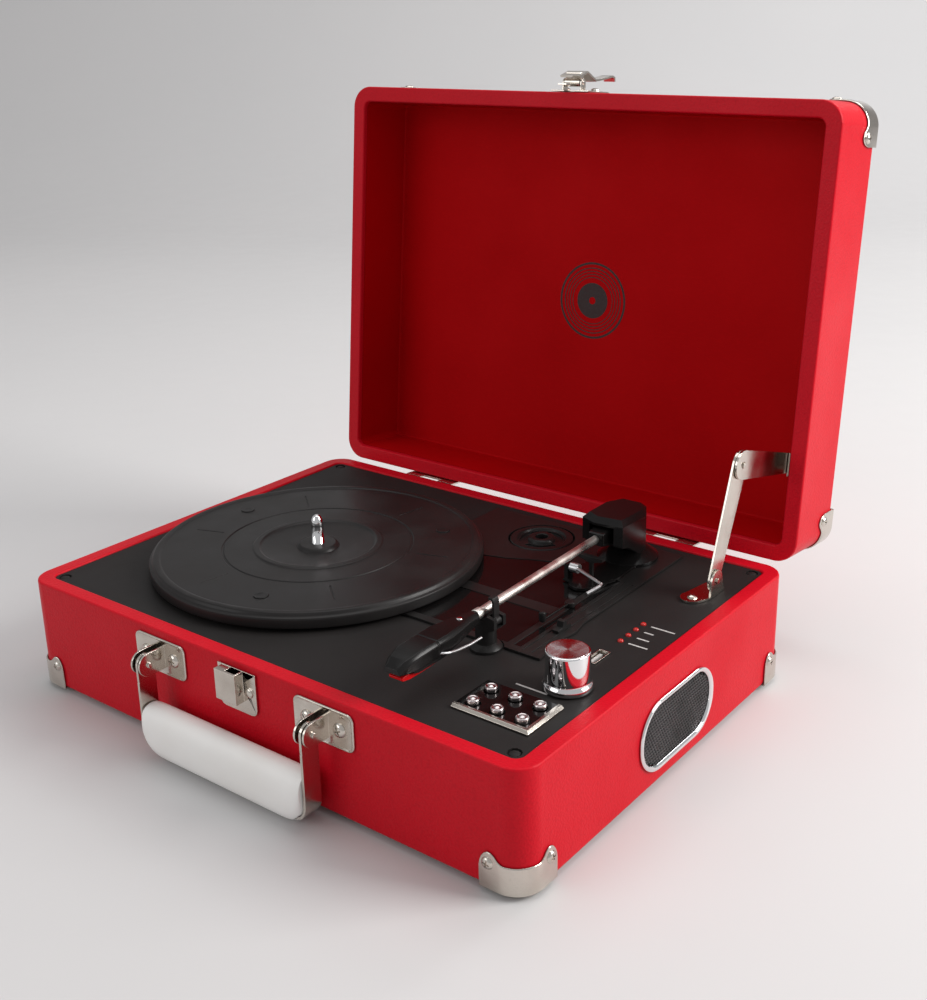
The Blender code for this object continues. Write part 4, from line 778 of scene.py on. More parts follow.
def handle_plates(template):
    """Two plates with raised rims, each with two ears, a pin and two screws."""
    near = FRONT_Y - GAP
    places = []
    for side, word in SIDES:
        x = side * HANDLE_X
        bm = bmesh.new()
        rows = [
            (39, 20.4, 4, near), (39, 20.4, 4, near - 0.5), (38.4, 19.8, 3.7, near - 0.95),
            (37.2, 18.6, 3.1, near - 1.0), (36.4, 17.8, 2.8, near - 0.75),
            (35.8, 17.2, 2.6, near - 0.7),
        ]
        loft(bm, [spread(rounded(w, d, r, 8, x, PLATE_MIDDLE_Z), "y", y) for w, d, r, y in rows])
        plate = mesh_object(f"handle_plate_{word}_pressed", bm, CASE)
        turns = [math.pi * i / 20 for i in range(21)]
        nose = [(HANDLE_PIN_Y - EAR_R * math.sin(a), HANDLE_PIN_Z - EAR_R * math.cos(a)) for a in turns]
        outline = [(near - 0.4, HANDLE_PIN_Z - EAR_R)] + nose + [(near - 0.4, HANDLE_PIN_Z + EAR_R)]
        for ear in (-1, 1):
            middle = x + ear * 2.9
            carve(plate, prism, outline, "x", middle - 0.6, middle + 0.6, operation="UNION")
        pin = bmesh.new()
        ends = [(1.2, -4.7), (1.6, -4.3), (1.6, 4.3), (1.2, 4.7)]
        turned(pin, ends, (x, HANDLE_PIN_Y, HANDLE_PIN_Z), "x", 20)
        boolean(plate, pin, CASE, "UNION")
        piece(plate, NICKEL, "case", [f"handle_plate_{word}"], 0.15)
        for s in (-1, 1):
            places.append(((x + s * 10.6, near - 0.6, 49.4), (0, -1, 0), 15 + 40 * s + x))
    screws("handle_plate_screws", places, template, CASE, "case")


def strap_path(side, last):
    """Down from the pin, then inward to a length that ends inside the grip."""
    steps = [(0, 40.0), (0, 26.0), (0, 12.0), (0.9, 7.4), (3.4, 4.2), (7.6, 3.1), (last, 3.0)]
    return smooth_path([(side * (HANDLE_X - inward), z) for inward, z in steps], 4)


def handle_straps():
    for side, word in SIDES:
        x = side * HANDLE_X
        outline = strip(strap_path(side, 16.0), 1.5)
        walls = (HANDLE_PIN_Y - STRAP_HALF, HANDLE_PIN_Y + STRAP_HALF)
        strap = solid(f"handle_strap_{word}_bent", prism, outline, "y", *walls)
        head = bmesh.new()
        outline = capsule((HANDLE_PIN_Y, HANDLE_PIN_Z), (HANDLE_PIN_Y, 41.0), 5.5, 5.4)
        prism(head, outline, "x", x - 0.75, x + 0.75)
        boolean(strap, head, CASE, "UNION")
        carve(strap, rod, (x, HANDLE_PIN_Y, HANDLE_PIN_Z), "x", -3, 3, 1.95)
        piece(strap, NICKEL, "handle", [f"handle_strap_{word}"], 0.3)


def handle_grip():
    """The padded grip: flat along the top, rounded up at both ends, slotted for the straps."""
    half = [
        (57.5, 0.56), (57.3, 0.64), (56.6, 0.745), (55.4, 0.825), (53.8, 0.89),
        (51.6, 0.94), (49.0, 0.975), (45.6, 0.995), (41.0, 1.0), (20.0, 1.0),
    ]
    loops = []
    for x, s in [(-x, s) for x, s in half] + [(x, s) for x, s in reversed(half)]:
        depth = GRIP_HALF_Y * (1 - 0.5 * (1 - s))
        middle = GRIP_Z + GRIP_HALF_Z * (1 - s) * 0.9
        loop = []
        for i in range(48):
            a = 2 * math.pi * i / 48
            y = depth * math.copysign(abs(math.cos(a)) ** 0.8, math.cos(a))
            z = GRIP_HALF_Z * s * math.copysign(abs(math.sin(a)) ** 0.85, math.sin(a))
            seam = 0.965 if i in (0, 1, 47) else 1.0
            loop.append((x, HANDLE_PIN_Y + y * seam, middle + z))
        loops.append(loop)
    grip = solid("handle_grip_padded", loft, loops)
    for side in (-1, 1):
        outline = strip(strap_path(side, 16.5), 2.4)
        carve(grip, prism, outline, "y", HANDLE_PIN_Y - SLOT_HALF, HANDLE_PIN_Y + SLOT_HALF)
    piece(grip, GRIP, "handle", ["handle_grip"], 0.0)


# ---------------------------------------------------------------- deck


def deck_windows():
    """The raised mechanism plate with its sunk gloss windows and rim lines."""
    edge = [(-18, -41), (121.5, -41), (118.5, -16), (120, -6), (117.6, 5), (117.6, 112), (-18, 112)]
    plate = solid("mechanism_cover", prism, edge, "z", DECK_TOP + GAP, PLATE_TOP)
    low = DECK_TOP - 1
    high = PLATE_TOP + 1
    holes = (
        (ADAPTER_X, ADAPTER_Y, ADAPTER_R + 1.0), (ARM_X, REST_Y, REST_HOLE_R),
        (ARM_X, ARM_Y, 6.0), (ARM_X, LIFT_BAR_Y, LIFT_BAR_R),
    )
    for x, y, r in holes:
        carve(plate, rod, (x, y, 0), "z", low, high, r, 64)
    sunk = PLATE_TOP - 0.6
    windows = (
        ("back", [(20, 12), (98, 12), (98, 57), (62, 62), (46, 56), (34, 50), (20, 46)]),
        ("front", [(20, -36), (98, -36), (98, 3), (20, 3)]),
        ("side", [(102, -36), (106.4, -36), (106.4, 60), (102, 60)]),
    )
    for word, outline in windows:
        carve(plate, prism, outline, "z", sunk, high)
    for x in (109.2, 114.6):
        carve(plate, box, (x - 0.45, -38, PLATE_TOP - 0.5), (x + 0.45, 60, high))
    piece(plate, PLATE_BLACK, "case", ["mechanism_plate"], 0.3)
    for word, outline in windows:
        middle = Vector((sum(p[0] for p in outline), sum(p[1] for p in outline))) / len(outline)
        inner = [tuple(middle + (Vector(p) - middle) * 0.985) for p in outline]
        pane = solid(f"mechanism_window_{word}", prism, inner, "z", sunk + 0.02, sunk + 0.22)
        cut = bmesh.new()
        rod(cut, (ARM_X, REST_Y, 0), "z", low, high, REST_HOLE_R, 48)
        rod(cut, (ARM_X, LIFT_BAR_Y, 0), "z", low, high, LIFT_BAR_R, 16)
        boolean(pane, cut)
        piece(pane, GLOSS, "case", edge=0.06)


def platter():
    """The platter: skirt, belt drum, raised rim, ring grooves, six spokes and three pads."""
    b = PLATTER_BOTTOM
    t = PLATTER_TOP
    under = t - 3.4
    flat = t - 0.8
    profile = [
        (SPINDLE_R + GAP, b + 0.2), (9.0, b + 0.2), (9.0, under), (DRUM_R - 4, under),
        (DRUM_R - 4, b + 0.6),
        (DRUM_R, b + 0.6), (DRUM_R, under), (PLATTER_R - 4, under), (PLATTER_R - 4, b),
        (PLATTER_R - 1.6, b),
        (PLATTER_R - 0.5, b + 0.4), (PLATTER_R, b + 1.4), (PLATTER_R, t - 3.6),
        (PLATTER_R - 0.5, t - 2.6),
        (PLATTER_R - 1.7, t - 2.2), (PLATTER_R - 2.1, t - 1.6), (PLATTER_R - 2.5, t - 0.6),
        (PLATTER_R - 3.3, t - 0.1),
        (PLATTER_R - 4.4, t), (PLATTER_R - 5.8, t - 0.1), (PLATTER_R - 6.6, t - 0.5),
        (PLATTER_R - 7.3, flat),
        (56.4, flat), (56.0, flat - 0.5), (55.0, flat - 0.5), (54.6, flat), (38.6, flat),
        (38.0, t - 0.3),
        (37.2, t), (35.0, t), (34.0, t - 0.3), (32.8, t - 1.3), (28.0, t - 1.7), (21.0, t - 2.2),
        (16.0, t - 2.5),
        (12.4, t - 2.5), (11.8, t - 1.6), (10.9, t - 0.6), (10.0, t - 0.3), (SPINDLE_R + GAP, t - 0.2),
    ]
    disc = solid("platter_turned", turned, profile, (PLATTER_X, PLATTER_Y, 0), "z", 144, True)
    cut = bmesh.new()
    for i in range(6):
        a = math.radians(20 + 60 * i)
        c, s = math.cos(a), math.sin(a)
        corners = [(62, -0.45), (80, -0.45), (80, 0.45), (62, 0.45)]
        outline = [(PLATTER_X + u * c - v * s, PLATTER_Y + u * s + v * c) for u, v in corners]
        prism(cut, outline, "z", flat - 0.35, t + 1)
    boolean(disc, cut)
    piece(disc, PLATTER_SKIN, "platter_body", ["platter"], 0.12, 40.0)
    pad_profile = ((4.2, 0.03), (4.2, 0.3), (3.8, 0.55), (2.4, 0.55), (2.0, 0.35), (0, 0.35))
    for i in range(3):
        a = math.radians(50 + 120 * i)
        spot = (PLATTER_X + 75 * math.cos(a), PLATTER_Y + 75 * math.sin(a), 0)
        profile = [(r, flat + rise) for r, rise in pad_profile]
        pad = solid(f"platter_pad_{i + 1}", turned, profile, spot, "z", 32)
        piece(pad, SATIN, "platter_body", edge=0.0)


def spindle():
    low = DECK_TOP - DECK_THICK - GAP
    profile = [
        (7.0, low - 24), (7.0, low - 2.4), (12.0, low - 2.4), (12.0, low), (5.4, low),
        (5.4, PLATTER_BOTTOM - 0.4),
        (SPINDLE_R, PLATTER_BOTTOM - 0.4), (SPINDLE_R, SPINDLE_TOP - 6.0),
        (SPINDLE_R * 0.97, SPINDLE_TOP - 4.2),
        (SPINDLE_R * 0.86, SPINDLE_TOP - 2.4), (SPINDLE_R * 0.62, SPINDLE_TOP - 0.8),
        (SPINDLE_R * 0.35, SPINDLE_TOP - 0.15),
        (0, SPINDLE_TOP),
    ]
    pin = solid("spindle_turned", turned, profile, (PLATTER_X, PLATTER_Y, 0), "z", 40)
    piece(pin, CHROME, "case", ["spindle"], 0.0)


def adapter():
    """The centre adapter for large-hole records: a ring, three webs and a hub in its recess."""
    b = DECK_TOP - 1.7
    r = ADAPTER_R
    profile = [
        (3.9, b), (r - 1, b), (r, b + 0.8), (r, b + 2.6), (r - 0.5, b + 3.2), (r - 1.4, b + 3.4),
        (r - 4, b + 3.4),
        (r - 4.6, b + 2.9), (r - 5, b + 2.0), (8.6, b + 2.0), (8.2, b + 3.2), (7.4, b + 4.0),
        (6.4, b + 4.2), (4.4, b + 4.2),
        (3.9, b + 3.8),
    ]
    made = solid("adapter_moulded", turned, profile, (ADAPTER_X, ADAPTER_Y, 0), "z", 72, True)
    for i in range(3):
        outline = arc(ADAPTER_X, ADAPTER_Y, 13.4, 120 * i + 12, 120 * i + 108, 14)
        outline += arc(ADAPTER_X, ADAPTER_Y, 9.6, 120 * i + 108, 120 * i + 12, 14)
        carve(made, prism, outline, "z", b + 0.9, b + 6)
    piece(made, SATIN, "adapter", ["adapter_45"], 0.15)


# ---------------------------------------------------------------- controls


def knob():
    """The volume knob: polished flange and side, and a turned top."""
    z = DECK_TOP + 0.6
    top = DECK_TOP + 20.5
    profile = [
        (3.0, DECK_TOP - 9), (3.0, z), (12.0, z), (12.3, z + 0.3), (12.4, z + 0.9),
        (12.3, z + 2.4), (12.0, z + 3.1),
        (11.5, z + 3.6), (11.2, z + 4.2), (KNOB_R, z + 5), (KNOB_R, top - 1.0),
        (KNOB_R - 0.25, top - 0.4), (KNOB_R - 0.7, top - 0.12),
        (KNOB_R - 1.0, top - 0.1), (0, top - 0.35),
    ]
    body = solid("volume_knob_polished", turned, profile, (KNOB_X, KNOB_Y, 0), "z", 96)
    piece(body, CHROME, "knob", ["volume_knob"], 0.0)
    bm = bmesh.new()
    face = [
        (0, top - 0.3), (KNOB_R - 1.1, top - 0.3), (KNOB_R - 1.1, top - 0.08),
        (KNOB_R - 1.3, top - 0.02), (7.0, top - 0.04), (3.5, top - 0.06), (0.35, top - 0.10),
        (0, top - 0.12),
    ]
    turned(bm, face, (KNOB_X, KNOB_Y, 0), "z", 96)
    cap = mesh_object("volume_knob_face", bm, CASE)
    piece(cap, TURNED, "knob", edge=0.0)


def buttons():
    z = DECK_TOP
    profile = [
        (1.6, z - 9), (1.6, z - 4.2), (BUTTON_R, z - 4.2), (BUTTON_R, z + 3.4),
        (BUTTON_R - 0.15, z + 4.0),
        (BUTTON_R - 0.5, z + 4.35), (BUTTON_R - 0.95, z + 4.4), (BUTTON_R - 1.2, z + 4.15),
        (1.3, z + 4.3), (0.7, z + 4.75),
        (0, z + 4.88),
    ]
    number = 0
    for y in BUTTON_YS:
        for x in BUTTON_XS:
            number += 1
            made = solid(f"button_{number}_capped", turned, profile, (x, y, 0), "z", 40)
            piece(made, CAP_CHROME_PAINTED_REFLECTION, f"button_{number}", [f"control_button_{number}"], 0.0)


def button_plate():
    """The gloss plate round the buttons, with nickel bevels on its front and right edges as a painted
    highlight: the silver stands in for light caught on the black plate's bevelled edges.
    """
    low = DECK_TOP + GAP
    plate = solid("button_plate", box, (113.5, -98.7, low), (154.2, -73.0, DECK_TOP + 1.6))
    cut = bmesh.new()
    for x in BUTTON_XS:
        for y in BUTTON_YS:
            rod(cut, (x, y, 0), "z", DECK_TOP - 2, DECK_TOP + 4, BUTTON_R + 0.45, 40)
    boolean(plate, cut)
    piece(plate, GLOSS, "case", ["button_panel"], 0.15)
    # Painted highlight: nickel wedges on the front and right edges stand in for light caught on the
    # gloss plate's bevels.
    high = DECK_TOP + 2.2
    bm = bmesh.new()
    section = [(0.2, low), (0.2, high), (1.9, high - 0.1), (3.2, low + 0.7), (3.2, low)]
    loops = [
        [(113.5, -98.7 - a, z) for a, z in section],
        [(154.2 + a, -98.7 - a, z) for a, z in section],
        [(154.2 + a, -73.0, z) for a, z in section],
    ]
    loft(bm, loops)
    highlight_bevels = mesh_object("button_plate_painted_highlight_bevels", bm, CASE)
    piece(highlight_bevels, NICKEL, "case", edge=0.12)


def lamps_and_socket():
    """Four small lamps, and the USB socket's shell with its tongue, in the deck's openings."""
    for number, y in enumerate(LED_YS, 1):
        bm = bmesh.new()
        profile = [(1.6, DECK_TOP - 2.0), (1.6, DECK_TOP + 0.25), (1.35, DECK_TOP + 0.75)]
        profile += [(0.8, DECK_TOP + 1.1), (0, DECK_TOP + 1.2)]
        turned(bm, profile, (LED_X, y, 0), "z", 24)
        lamp = mesh_object(f"lamp_{number}", bm, CASE)
        piece(lamp, LAMP, "case", edge=0.0)
    top = DECK_TOP + 0.75
    bm = bmesh.new()
    loops = [
        (6.75, 14.75, top - 8), (6.75, 14.75, top - 0.1), (6.5, 14.5, top), (5.5, 13.5, top),
        (5.3, 13.3, top - 0.2), (5.3, 13.3, top - 8),
    ]
    loft(bm, [spread(rounded(w, d, 0.5, 4, USB_X, USB_Y), "z", z) for w, d, z in loops], closed=True)
    shell = mesh_object("socket_shell", bm, CASE)
    piece(shell, NICKEL, "case", edge=0.05)
    low = (USB_X - 2.1, USB_Y - 5.6, top - 8)
    tongue = solid("socket_tongue", box, low, (USB_X - 0.3, USB_Y + 5.6, top - 1.6))
    piece(tongue, PALE_INK, "case", edge=0.1)


def printed_marks():
    """Short plain dashes on the deck where a player has its printed words."""
    z = DECK_TOP + 0.03
    marks = [
        (153.0, 0.6, 11.0), (151.5, 8.2, 7.0), (150.5, 15.9, 5.5), (154.5, 23.5, 14.0),
        (146.0, -38.0, 5.0), (134.0, -66.0, 18.0),
    ]
    for number, (x, y, length) in enumerate(marks, 1):
        low = (x - length / 2, y - 0.55, z)
        mark = solid(f"deck_mark_{number}", box, low, (x + length / 2, y + 0.55, z + 0.06))
        piece(mark, PALE_INK, "case", edge=0.0)


# ---------------------------------------------------------------- tonearm


def tube_height(y):
    """Height of the tube's middle line at a distance y."""
    back_y, back_z = TUBE_BACK
    front_y, front_z = TUBE_FRONT
    return front_z + (y - front_y) * (back_z - front_z) / (back_y - front_y)


def bar(bm, points, r, steps=16):
    """A round bar along a path of points."""
    path = [Vector(p) for p in points]
    side = (path[1] - path[0]).orthogonal().normalized()
    loops = []
    for i, p in enumerate(path):
        ahead = (path[min(i + 1, len(path) - 1)] - path[max(i - 1, 0)]).normalized()
        side = (side - ahead * side.dot(ahead)).normalized()
        up = ahead.cross(side)
        turns = [2 * math.pi * k / steps for k in range(steps)]
        loops.append([p + side * (r * math.cos(a)) + up * (r * math.sin(a)) for a in turns])
    loft(bm, loops)


def tonearm_tube():
    """The plated tube with its front collar, and the black cradle that carries it."""
    back_y = TUBE_BACK[0] + 6
    front_y = TUBE_FRONT[0]
    stations = [
        (back_y, TUBE_R), (front_y + 5.0, TUBE_R), (front_y + 4.8, 2.6), (front_y + 4.4, 2.88),
        (front_y + 0.5, 2.88), (front_y + 0.1, 2.6),
    ]
    loops = []
    for y, r in stations:
        loops.append([(ARM_X + a, y, tube_height(y) + b) for a, b in arc(0, 0, r, 0, 352.5, 47)])
    shaft = solid("tonearm_shaft", loft, loops)
    piece(shaft, TUBE_CHROME, "tonearm", ["tonearm_tube"], 0.0)
    side = [
        (57.5, 83.0), (57.5, 90.4), (62, 91.3), (80, 90.9), (84.0, 88.0), (84.0, 82.0), (80, 79.6),
        (68, 80.6),
    ]
    cradle = solid("tonearm_cradle", prism, side, "x", ARM_X - 4.95, ARM_X + 4.95)
    carve(cradle, rod, (ARM_X, ARM_LIFT_Y, ARM_LIFT_Z), "x", -8, 8, 1.9, 24)
    piece(cradle, GLOSS, "tonearm", edge=0.7)


def headshell():
    """The tapered shell with a parting groove, a pale pin by its joint and the finger lift."""
    stations = [
        (-54.4, 3.55, 86.6, 81.2), (-62, 4.35, 87.15, 80.6), (-72, 6.55, 87.55, 80.2),
        (-82, 7.95, 87.75, 79.6),
        (-90.6, 7.95, 87.65, 79.6), (-91.0, 7.75, 87.35, 79.6), (-91.6, 7.75, 87.35, 79.6),
        (-92.0, 7.95, 87.6, 79.6),
        (-104, 7.95, 87.35, 79.6), (-112, 6.55, 85.55, 79.6), (-117, 4.95, 82.55, 79.8),
    ]
    loops = []
    for y, w, top, low in stations:
        loop = [(-w, low), (w, low), (w, top - 2.4), (w - 0.5, top - 1.2), (w - 2.0, top)]
        loop += [(2.0 - w, top), (0.5 - w, top - 1.2), (-w, top - 2.4)]
        loops.append([(ARM_X + a, y, b) for a, b in loop])
    shell = solid("headshell_cover", loft, loops)
    piece(shell, ARM_BLACK, "tonearm", ["headshell"], 0.2)
    bm = bmesh.new()
    path = smooth_path([(ARM_X + 6, -92, 81.4), (ARM_X + 9.4, -87, 80.5), (ARM_X + 9.6, -80, 79.0)], 4)
    path += [(ARM_X + 9.2, -70, 77.6), (ARM_X + 9.0, -60.4, 77.4)]
    bar(bm, path, 0.72)
    lift = mesh_object("headshell_finger_lift", bm, CASE)
    piece(lift, STEEL, "tonearm", edge=0.1)
    profile = [(1.5, 87.0), (1.5, 87.5), (1.2, 87.8), (0, 87.9)]
    pin = solid("headshell_pin", turned, profile, (ARM_X, -66.0, 0), "z", 24)
    piece(pin, CHROME, "tonearm", edge=0.05)


def cartridge():
    """A black body with a front rib, and the red stylus holder clipped under it."""
    side = [
        (-82, 79.3), (-82, 77.0), (-86, 76.4), (-104.5, 76.4), (-105, 76.8), (-107.9, 77.5),
        (-107.9, 79.3),
    ]
    body = solid("cartridge_body", prism, side, "x", ARM_X - 5.95, ARM_X + 5.95)
    piece(body, SATIN, "tonearm", ["cartridge"], 0.35)
    side = [
        (-84.2, 76.3), (-86, 75.0), (-100, 74.5), (-109, 74.5), (-113.9, 75.5), (-114.4, 77.1),
        (-112, 77.8),
        (-108.6, 77.2), (-105.0, 76.5),
    ]
    holder = solid("cartridge_stylus_holder", prism, side, "x", ARM_X - 4.15, ARM_X + 4.15)
    piece(holder, STYLUS_RED, "tonearm", edge=0.3)


def speed_lever():
    """A thin black rod from a round boss, with a small black knob on its end."""
    z = PLATE_TOP + GAP
    boss = solid("speed_lever_boss", rod, (SELECTOR_X, SELECTOR_Y, 0), "z", z, z + 2.6, 2.9, 32)
    piece(boss, SATIN, "speed_lever", ["speed_selector"], 0.3)
    bm = bmesh.new()
    middle = (SELECTOR_X, 0, z + 2.0)
    rod(bm, middle, "y", SELECTOR_Y - 26, SELECTOR_Y - 2, 0.75, 16)
    shaft = mesh_object("speed_lever_rod", bm, CASE)
    piece(shaft, ARM_BLACK, "speed_lever", edge=0.1)
    bm = bmesh.new()
    profile = [(1.5, z + 1.3), (1.95, z + 2.0), (1.95, z + 6.0), (1.5, z + 6.8), (0, z + 6.95)]
    turned(bm, profile, (SELECTOR_X, SELECTOR_Y - 26, 0), "z", 28)
    knob_part = mesh_object("speed_lever_knob", bm, CASE)
    piece(knob_part, SATIN, "speed_lever", edge=0.1)


# ---------------------------------------------------------------- speakers


def in_racetrack(y, z, length, height):
    """Whether a point lies inside the speaker's outline."""
    r = height / 2 * 0.96
    dy = max(0.0, abs(y - SPEAKER_Y) - (length / 2 - r))
    dz = max(0.0, abs(z - SPEAKER_Z) - (height / 2 - r))
    return math.hypot(dy, dz) < r


def perforated(bm, side, face, pitch=2.2, hole=0.62):
    """A sheet of six-sided cells, each with a round-ish hole through it."""
    shared = {}

    def corner(y, z, x):
        key = (round(y, 3), round(z, 3), round(x, 3))
        if key not in shared:
            shared[key] = bm.verts.new((side * x, y, z))
        return shared[key]

    r = pitch / math.sqrt(3)
    rows = int(SPEAKER_H / (1.5 * r)) + 2
    columns = int(SPEAKER_L / pitch) + 2
    for row in range(-rows // 2, rows // 2 + 1):
        for column in range(-columns // 2, columns // 2 + 1):
            y = SPEAKER_Y + pitch * (column + 0.5 * (row % 2))
            z = SPEAKER_Z + 1.5 * r * row
            if not in_racetrack(y, z, SPEAKER_L - 6.6, SPEAKER_H - 6.6):
                continue
            turns = [math.radians(30 + 60 * k) for k in range(6)]
            outer, rim, deep = [
                [corner(y + part * math.cos(a), z + part * math.sin(a), x) for a in turns]
                for part, x in ((r, face), (r * hole, face - 0.12), (r * hole, face - 0.7))
            ]
            for k in range(6):
                j = (k + 1) % 6
                bm.faces.new((outer[k], outer[j], rim[j], rim[k]))
                bm.faces.new((rim[k], rim[j], deep[j], deep[k]))


def speakers():
    """Each speaker: a polished oval bezel and a perforated sheet over a dark cone."""
    face = CASE_W / 2
    for side, word in SIDES:
        rows = [
            (SPEAKER_L - 0.2, SPEAKER_H - 0.2, face + GAP), (SPEAKER_L, SPEAKER_H, face + 0.7),
            (SPEAKER_L - 0.5, SPEAKER_H - 0.5, face + 1.3),
            (SPEAKER_L - 1.4, SPEAKER_H - 1.4, face + 1.7),
            (SPEAKER_L - 2.8, SPEAKER_H - 2.8, face + 1.75),
            (SPEAKER_L - 4.4, SPEAKER_H - 4.4, face + 1.4),
            (SPEAKER_L - 5.6, SPEAKER_H - 5.6, face + 0.8),
            (SPEAKER_L - 6.0, SPEAKER_H - 6.0, face + 0.3),
            (SPEAKER_L - 6.0, SPEAKER_H - 6.0, face - 1.2),
            (SPEAKER_L - 5.4, SPEAKER_H - 5.4, face - 1.2),
            (SPEAKER_L - 5.4, SPEAKER_H - 5.4, face + GAP),
        ]
        bm = bmesh.new()
        outlines = [(racetrack(a, b, 40, SPEAKER_Y, SPEAKER_Z), x) for a, b, x in rows]
        loft(bm, [spread(outline, "x", side * x) for outline, x in outlines], closed=True)
        bezel = mesh_object(f"speaker_bezel_{word}", bm, CASE)
        piece(bezel, CHROME, "case", [f"speaker_grille_{word}"], 0.0)
        sheet = solid(f"speaker_mesh_{word}", perforated, side, face + 0.1)
        piece(sheet, MESH, "case", edge=0.0)
        bm = bmesh.new()
        outline = racetrack(SPEAKER_L - 6.2, SPEAKER_H - 6.2, 24, SPEAKER_Y, SPEAKER_Z)
        loft(bm, [spread(outline, "x", side * x) for x in (face - 0.75, face - 1.1)])
        cloth = mesh_object(f"speaker_cloth_{word}", bm, CASE)
        piece(cloth, CONE, "case", edge=0.0)


# ---------------------------------------------------------------- stay


def stay_discs():
    """The knee's two pressed discs with a ring of dimples round the rivet."""
    y, z = STAY_KNEE_OPEN
    x = STAY_X - STAY_T / 2
    bm = bmesh.new()
    profile = [(0, 0.0), (1.2, 0.15), (2.2, 0.55), (2.6, 0.30), (3.0, 0.0)]
    turned(bm, [(a, -b - 0.85) for a, b in profile], (x, y, z), "x", 28)
    eyelet = mesh_object("stay_knee_eyelet", bm, CASE)
    piece(eyelet, CHROME, "stay_lower", edge=0.0)
    bm = bmesh.new()
    for i in range(8):
        a = 2 * math.pi * i / 8
        spot = (x, y + 5.4 * math.cos(a), z + 5.4 * math.sin(a))
        turned(bm, [(0.9, 0.05), (0.9, -0.05), (0.65, -0.35), (0, -0.48)], spot, "x", 14)
    dimples = mesh_object("stay_knee_dimples", bm, CASE)
    piece(dimples, NICKEL, "stay_lower", edge=0.0)


# ---------------------------------------------------------------- stage


VIEW_AZIMUTH = 37.24
VIEW_ELEVATION = 19.13
VIEW_ROLL = -0.90
VIEW_PLACE = (0.4466, -0.5083, 0.3671)
SENSOR = 36.0
SWEEP_FLAT = 1.6
SWEEP_R = 1.8


def camera():
    """The view: 37 degrees to the right of the front, 19 degrees up."""
    azimuth = math.radians(VIEW_AZIMUTH)
    elevation = math.radians(VIEW_ELEVATION)
    roll = math.radians(VIEW_ROLL)
    back = Vector((
        math.sin(azimuth) * math.cos(elevation),
        -math.cos(azimuth) * math.cos(elevation),
        math.sin(elevation),
    ))
    right = Vector((math.cos(azimuth), math.sin(azimuth), 0))
    up = back.cross(right)
    turn = Matrix((right, up, back)).transposed().to_4x4()
    data = bpy.data.cameras.new("camera")
    data.sensor_width = SENSOR
    data.lens = 1.2851 * SENSOR
    data.shift_x = -0.0247
    data.shift_y = -0.0424
    data.clip_start = 0.01
    data.clip_end = 50.0
    made = bpy.data.objects.new("camera", data)
    made.matrix_world = (
        CASE @ Matrix.Translation(VIEW_PLACE) @ turn @ Matrix.Rotation(roll, 4, "Z")
    )
    bpy.context.scene.collection.objects.link(made)
    bpy.context.scene.camera = made


def area_light(name, place, target, size, power, colour=(1, 1, 1)):
    data = bpy.data.lights.new(name, "AREA")
    data.shape = "RECTANGLE"
    data.size, data.size_y = size
    data.energy = power
    data.color = colour
    made = bpy.data.objects.new(name, data)
    made.location = place
    made.rotation_euler = (Vector(target) - Vector(place)).to_track_quat("-Z", "Y").to_euler()
    bpy.context.scene.collection.objects.link(made)


def studio_floor():
    """A wide pale sheet that lies flat under the object and curves up far behind it."""
    look = Look("floor_sheet", (0.62, 0.61, 0.61), 0.55, Specular_IOR_Level=0.2)
    cloud = look.noise(1.3, 3.0)
    look.tint(cloud, (0.585, 0.58, 0.582), 0.6, 0.35, 0.7)
    look.rough(look.noise(30.0, 3.0), 0.48, 0.62)
    turns = [math.radians(3 * i) for i in range(31)]
    profile = [(-4.0, 0.0), (0.0, 0.0)]
    profile += [(SWEEP_FLAT + SWEEP_R * math.sin(a), SWEEP_R * (1 - math.cos(a))) for a in turns]
    profile.append((SWEEP_FLAT + SWEEP_R, 5.0))
    bm = bmesh.new()
    rows = [[bm.verts.new((x, y, z)) for y, z in profile] for x in (-6.0, 6.0)]
    for k in range(len(profile) - 1):
        bm.faces.new((rows[0][k], rows[1][k], rows[1][k + 1], rows[0][k + 1])).smooth = True
    mesh = bpy.data.meshes.new("floor")
    bm.to_mesh(mesh)
    bm.free()
    floor = bpy.data.objects.new("floor", mesh)
    floor.matrix_world = Matrix.Rotation(math.radians(VIEW_AZIMUTH), 4, "Z")
    mesh.materials.append(look.material)
    bpy.context.scene.collection.objects.link(floor)


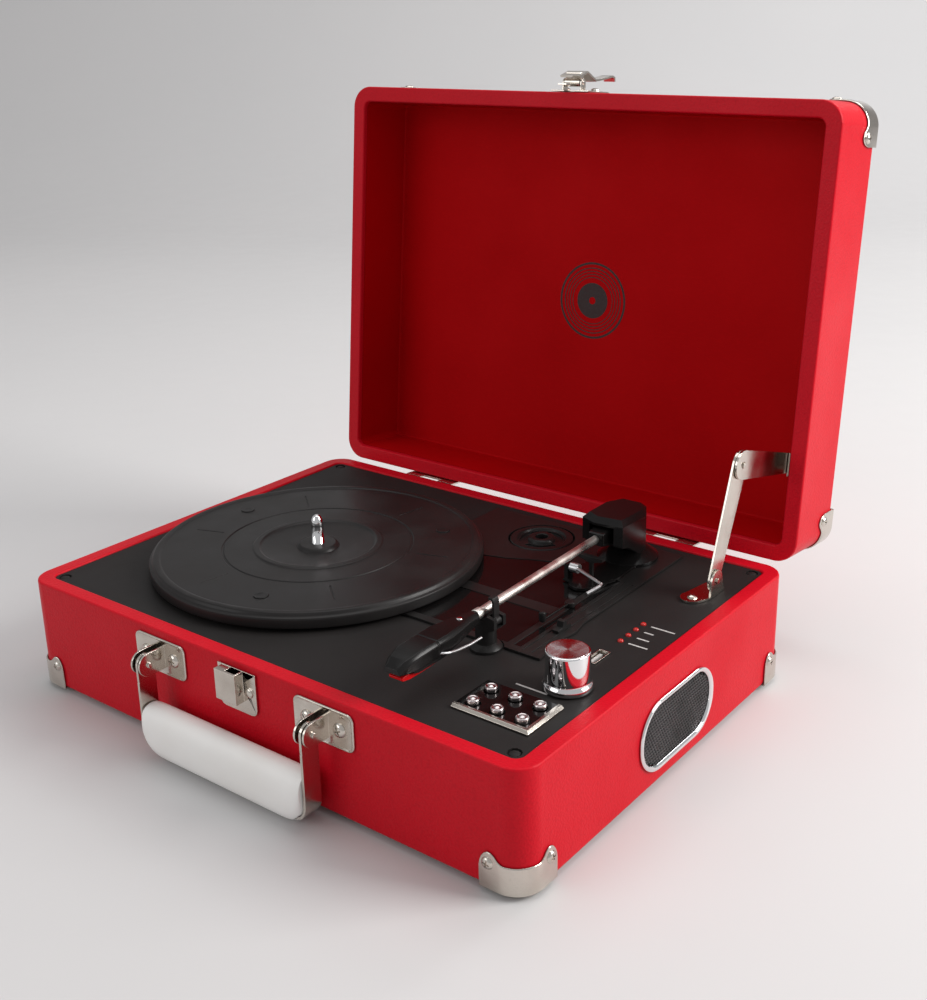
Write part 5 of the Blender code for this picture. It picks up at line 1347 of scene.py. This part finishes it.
def studio():
    scene = bpy.context.scene
    scene.view_settings.view_transform = "Standard"
    world = bpy.data.worlds.new("studio")
    scene.world = world
    world.use_nodes = True
    world.node_tree.nodes["Background"].inputs["Color"].default_value = (0.86, 0.86, 0.87, 1)
    world.node_tree.nodes["Background"].inputs["Strength"].default_value = 0.55
    area_light("key", (1.45, 0.75, 1.0), (0.05, 0.05, 0.1), (0.9, 0.9), 34, (1.0, 0.98, 0.96))
    area_light("top", (-0.1, 0.3, 1.7), (0, 0, 0.1), (1.6, 1.2), 9)
    area_light("front", (-0.9, -1.7, 0.9), (0, 0, 0.1), (1.2, 1.0), 6.5)
    area_light("sweep", (0.32, 2.24, 1.8), (-1.08, 2.44, 0.4), (1.4, 1.0), 26)


# ---------------------------------------------------------------- assembly


def dress_nodes():
    """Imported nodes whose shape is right: materials and small round edges."""
    dress(DECK, 0.2, "deck_panel")
    dress(RED, 0.3, "bottom_panel")
    dress(ARM_BLACK, 0.35, "arm_housing", "tonearm_base")
    dress(SATIN, 0.15, "arm_rest_post", "arm_lock", "lift_platform", "auto_stop_switch")
    dress(SATIN, 0.25, "rear_socket_panel")
    dress(STEEL, 0.1, "cue_lever")
    dress(STEEL, 0.3, "motor", "speaker_driver_left", "speaker_driver_right")
    dress(BRASS, 0.0, "motor_pulley")
    dress(RUBBER, 0.0, "drive_belt")
    dress(BOARD, 0.1, "circuit_board")
    hinges = [f"hinge_{half}_leaf_{word}" for half in ("base", "lid") for _, word in SIDES]
    dress(NICKEL, 0.2, *hinges)
    dress(NICKEL, 0.2, "stay_foot_bracket", "stay_lid_bracket", "stay_lower_arm", "stay_upper_arm")
    dress(NICKEL, 0.2, "catch_plate", "latch_plate", "latch_hasp")


def main():
    camera()
    studio()
    studio_floor()
    dress_nodes()
    base_walls()
    lid_tray()
    lid_lining()
    lid_emblem()
    template = screw_template()
    wide_template = screw_template(3.9, 2.1)
    corner_protectors(template)
    handle_plates(wide_template)
    bpy.data.objects.remove(template)
    bpy.data.objects.remove(wide_template)
    handle_straps()
    handle_grip()
    deck_windows()
    platter()
    spindle()
    adapter()
    knob()
    buttons()
    button_plate()
    lamps_and_socket()
    printed_marks()
    tonearm_tube()
    headshell()
    cartridge()
    speed_lever()
    speakers()
    stay_discs()


main()
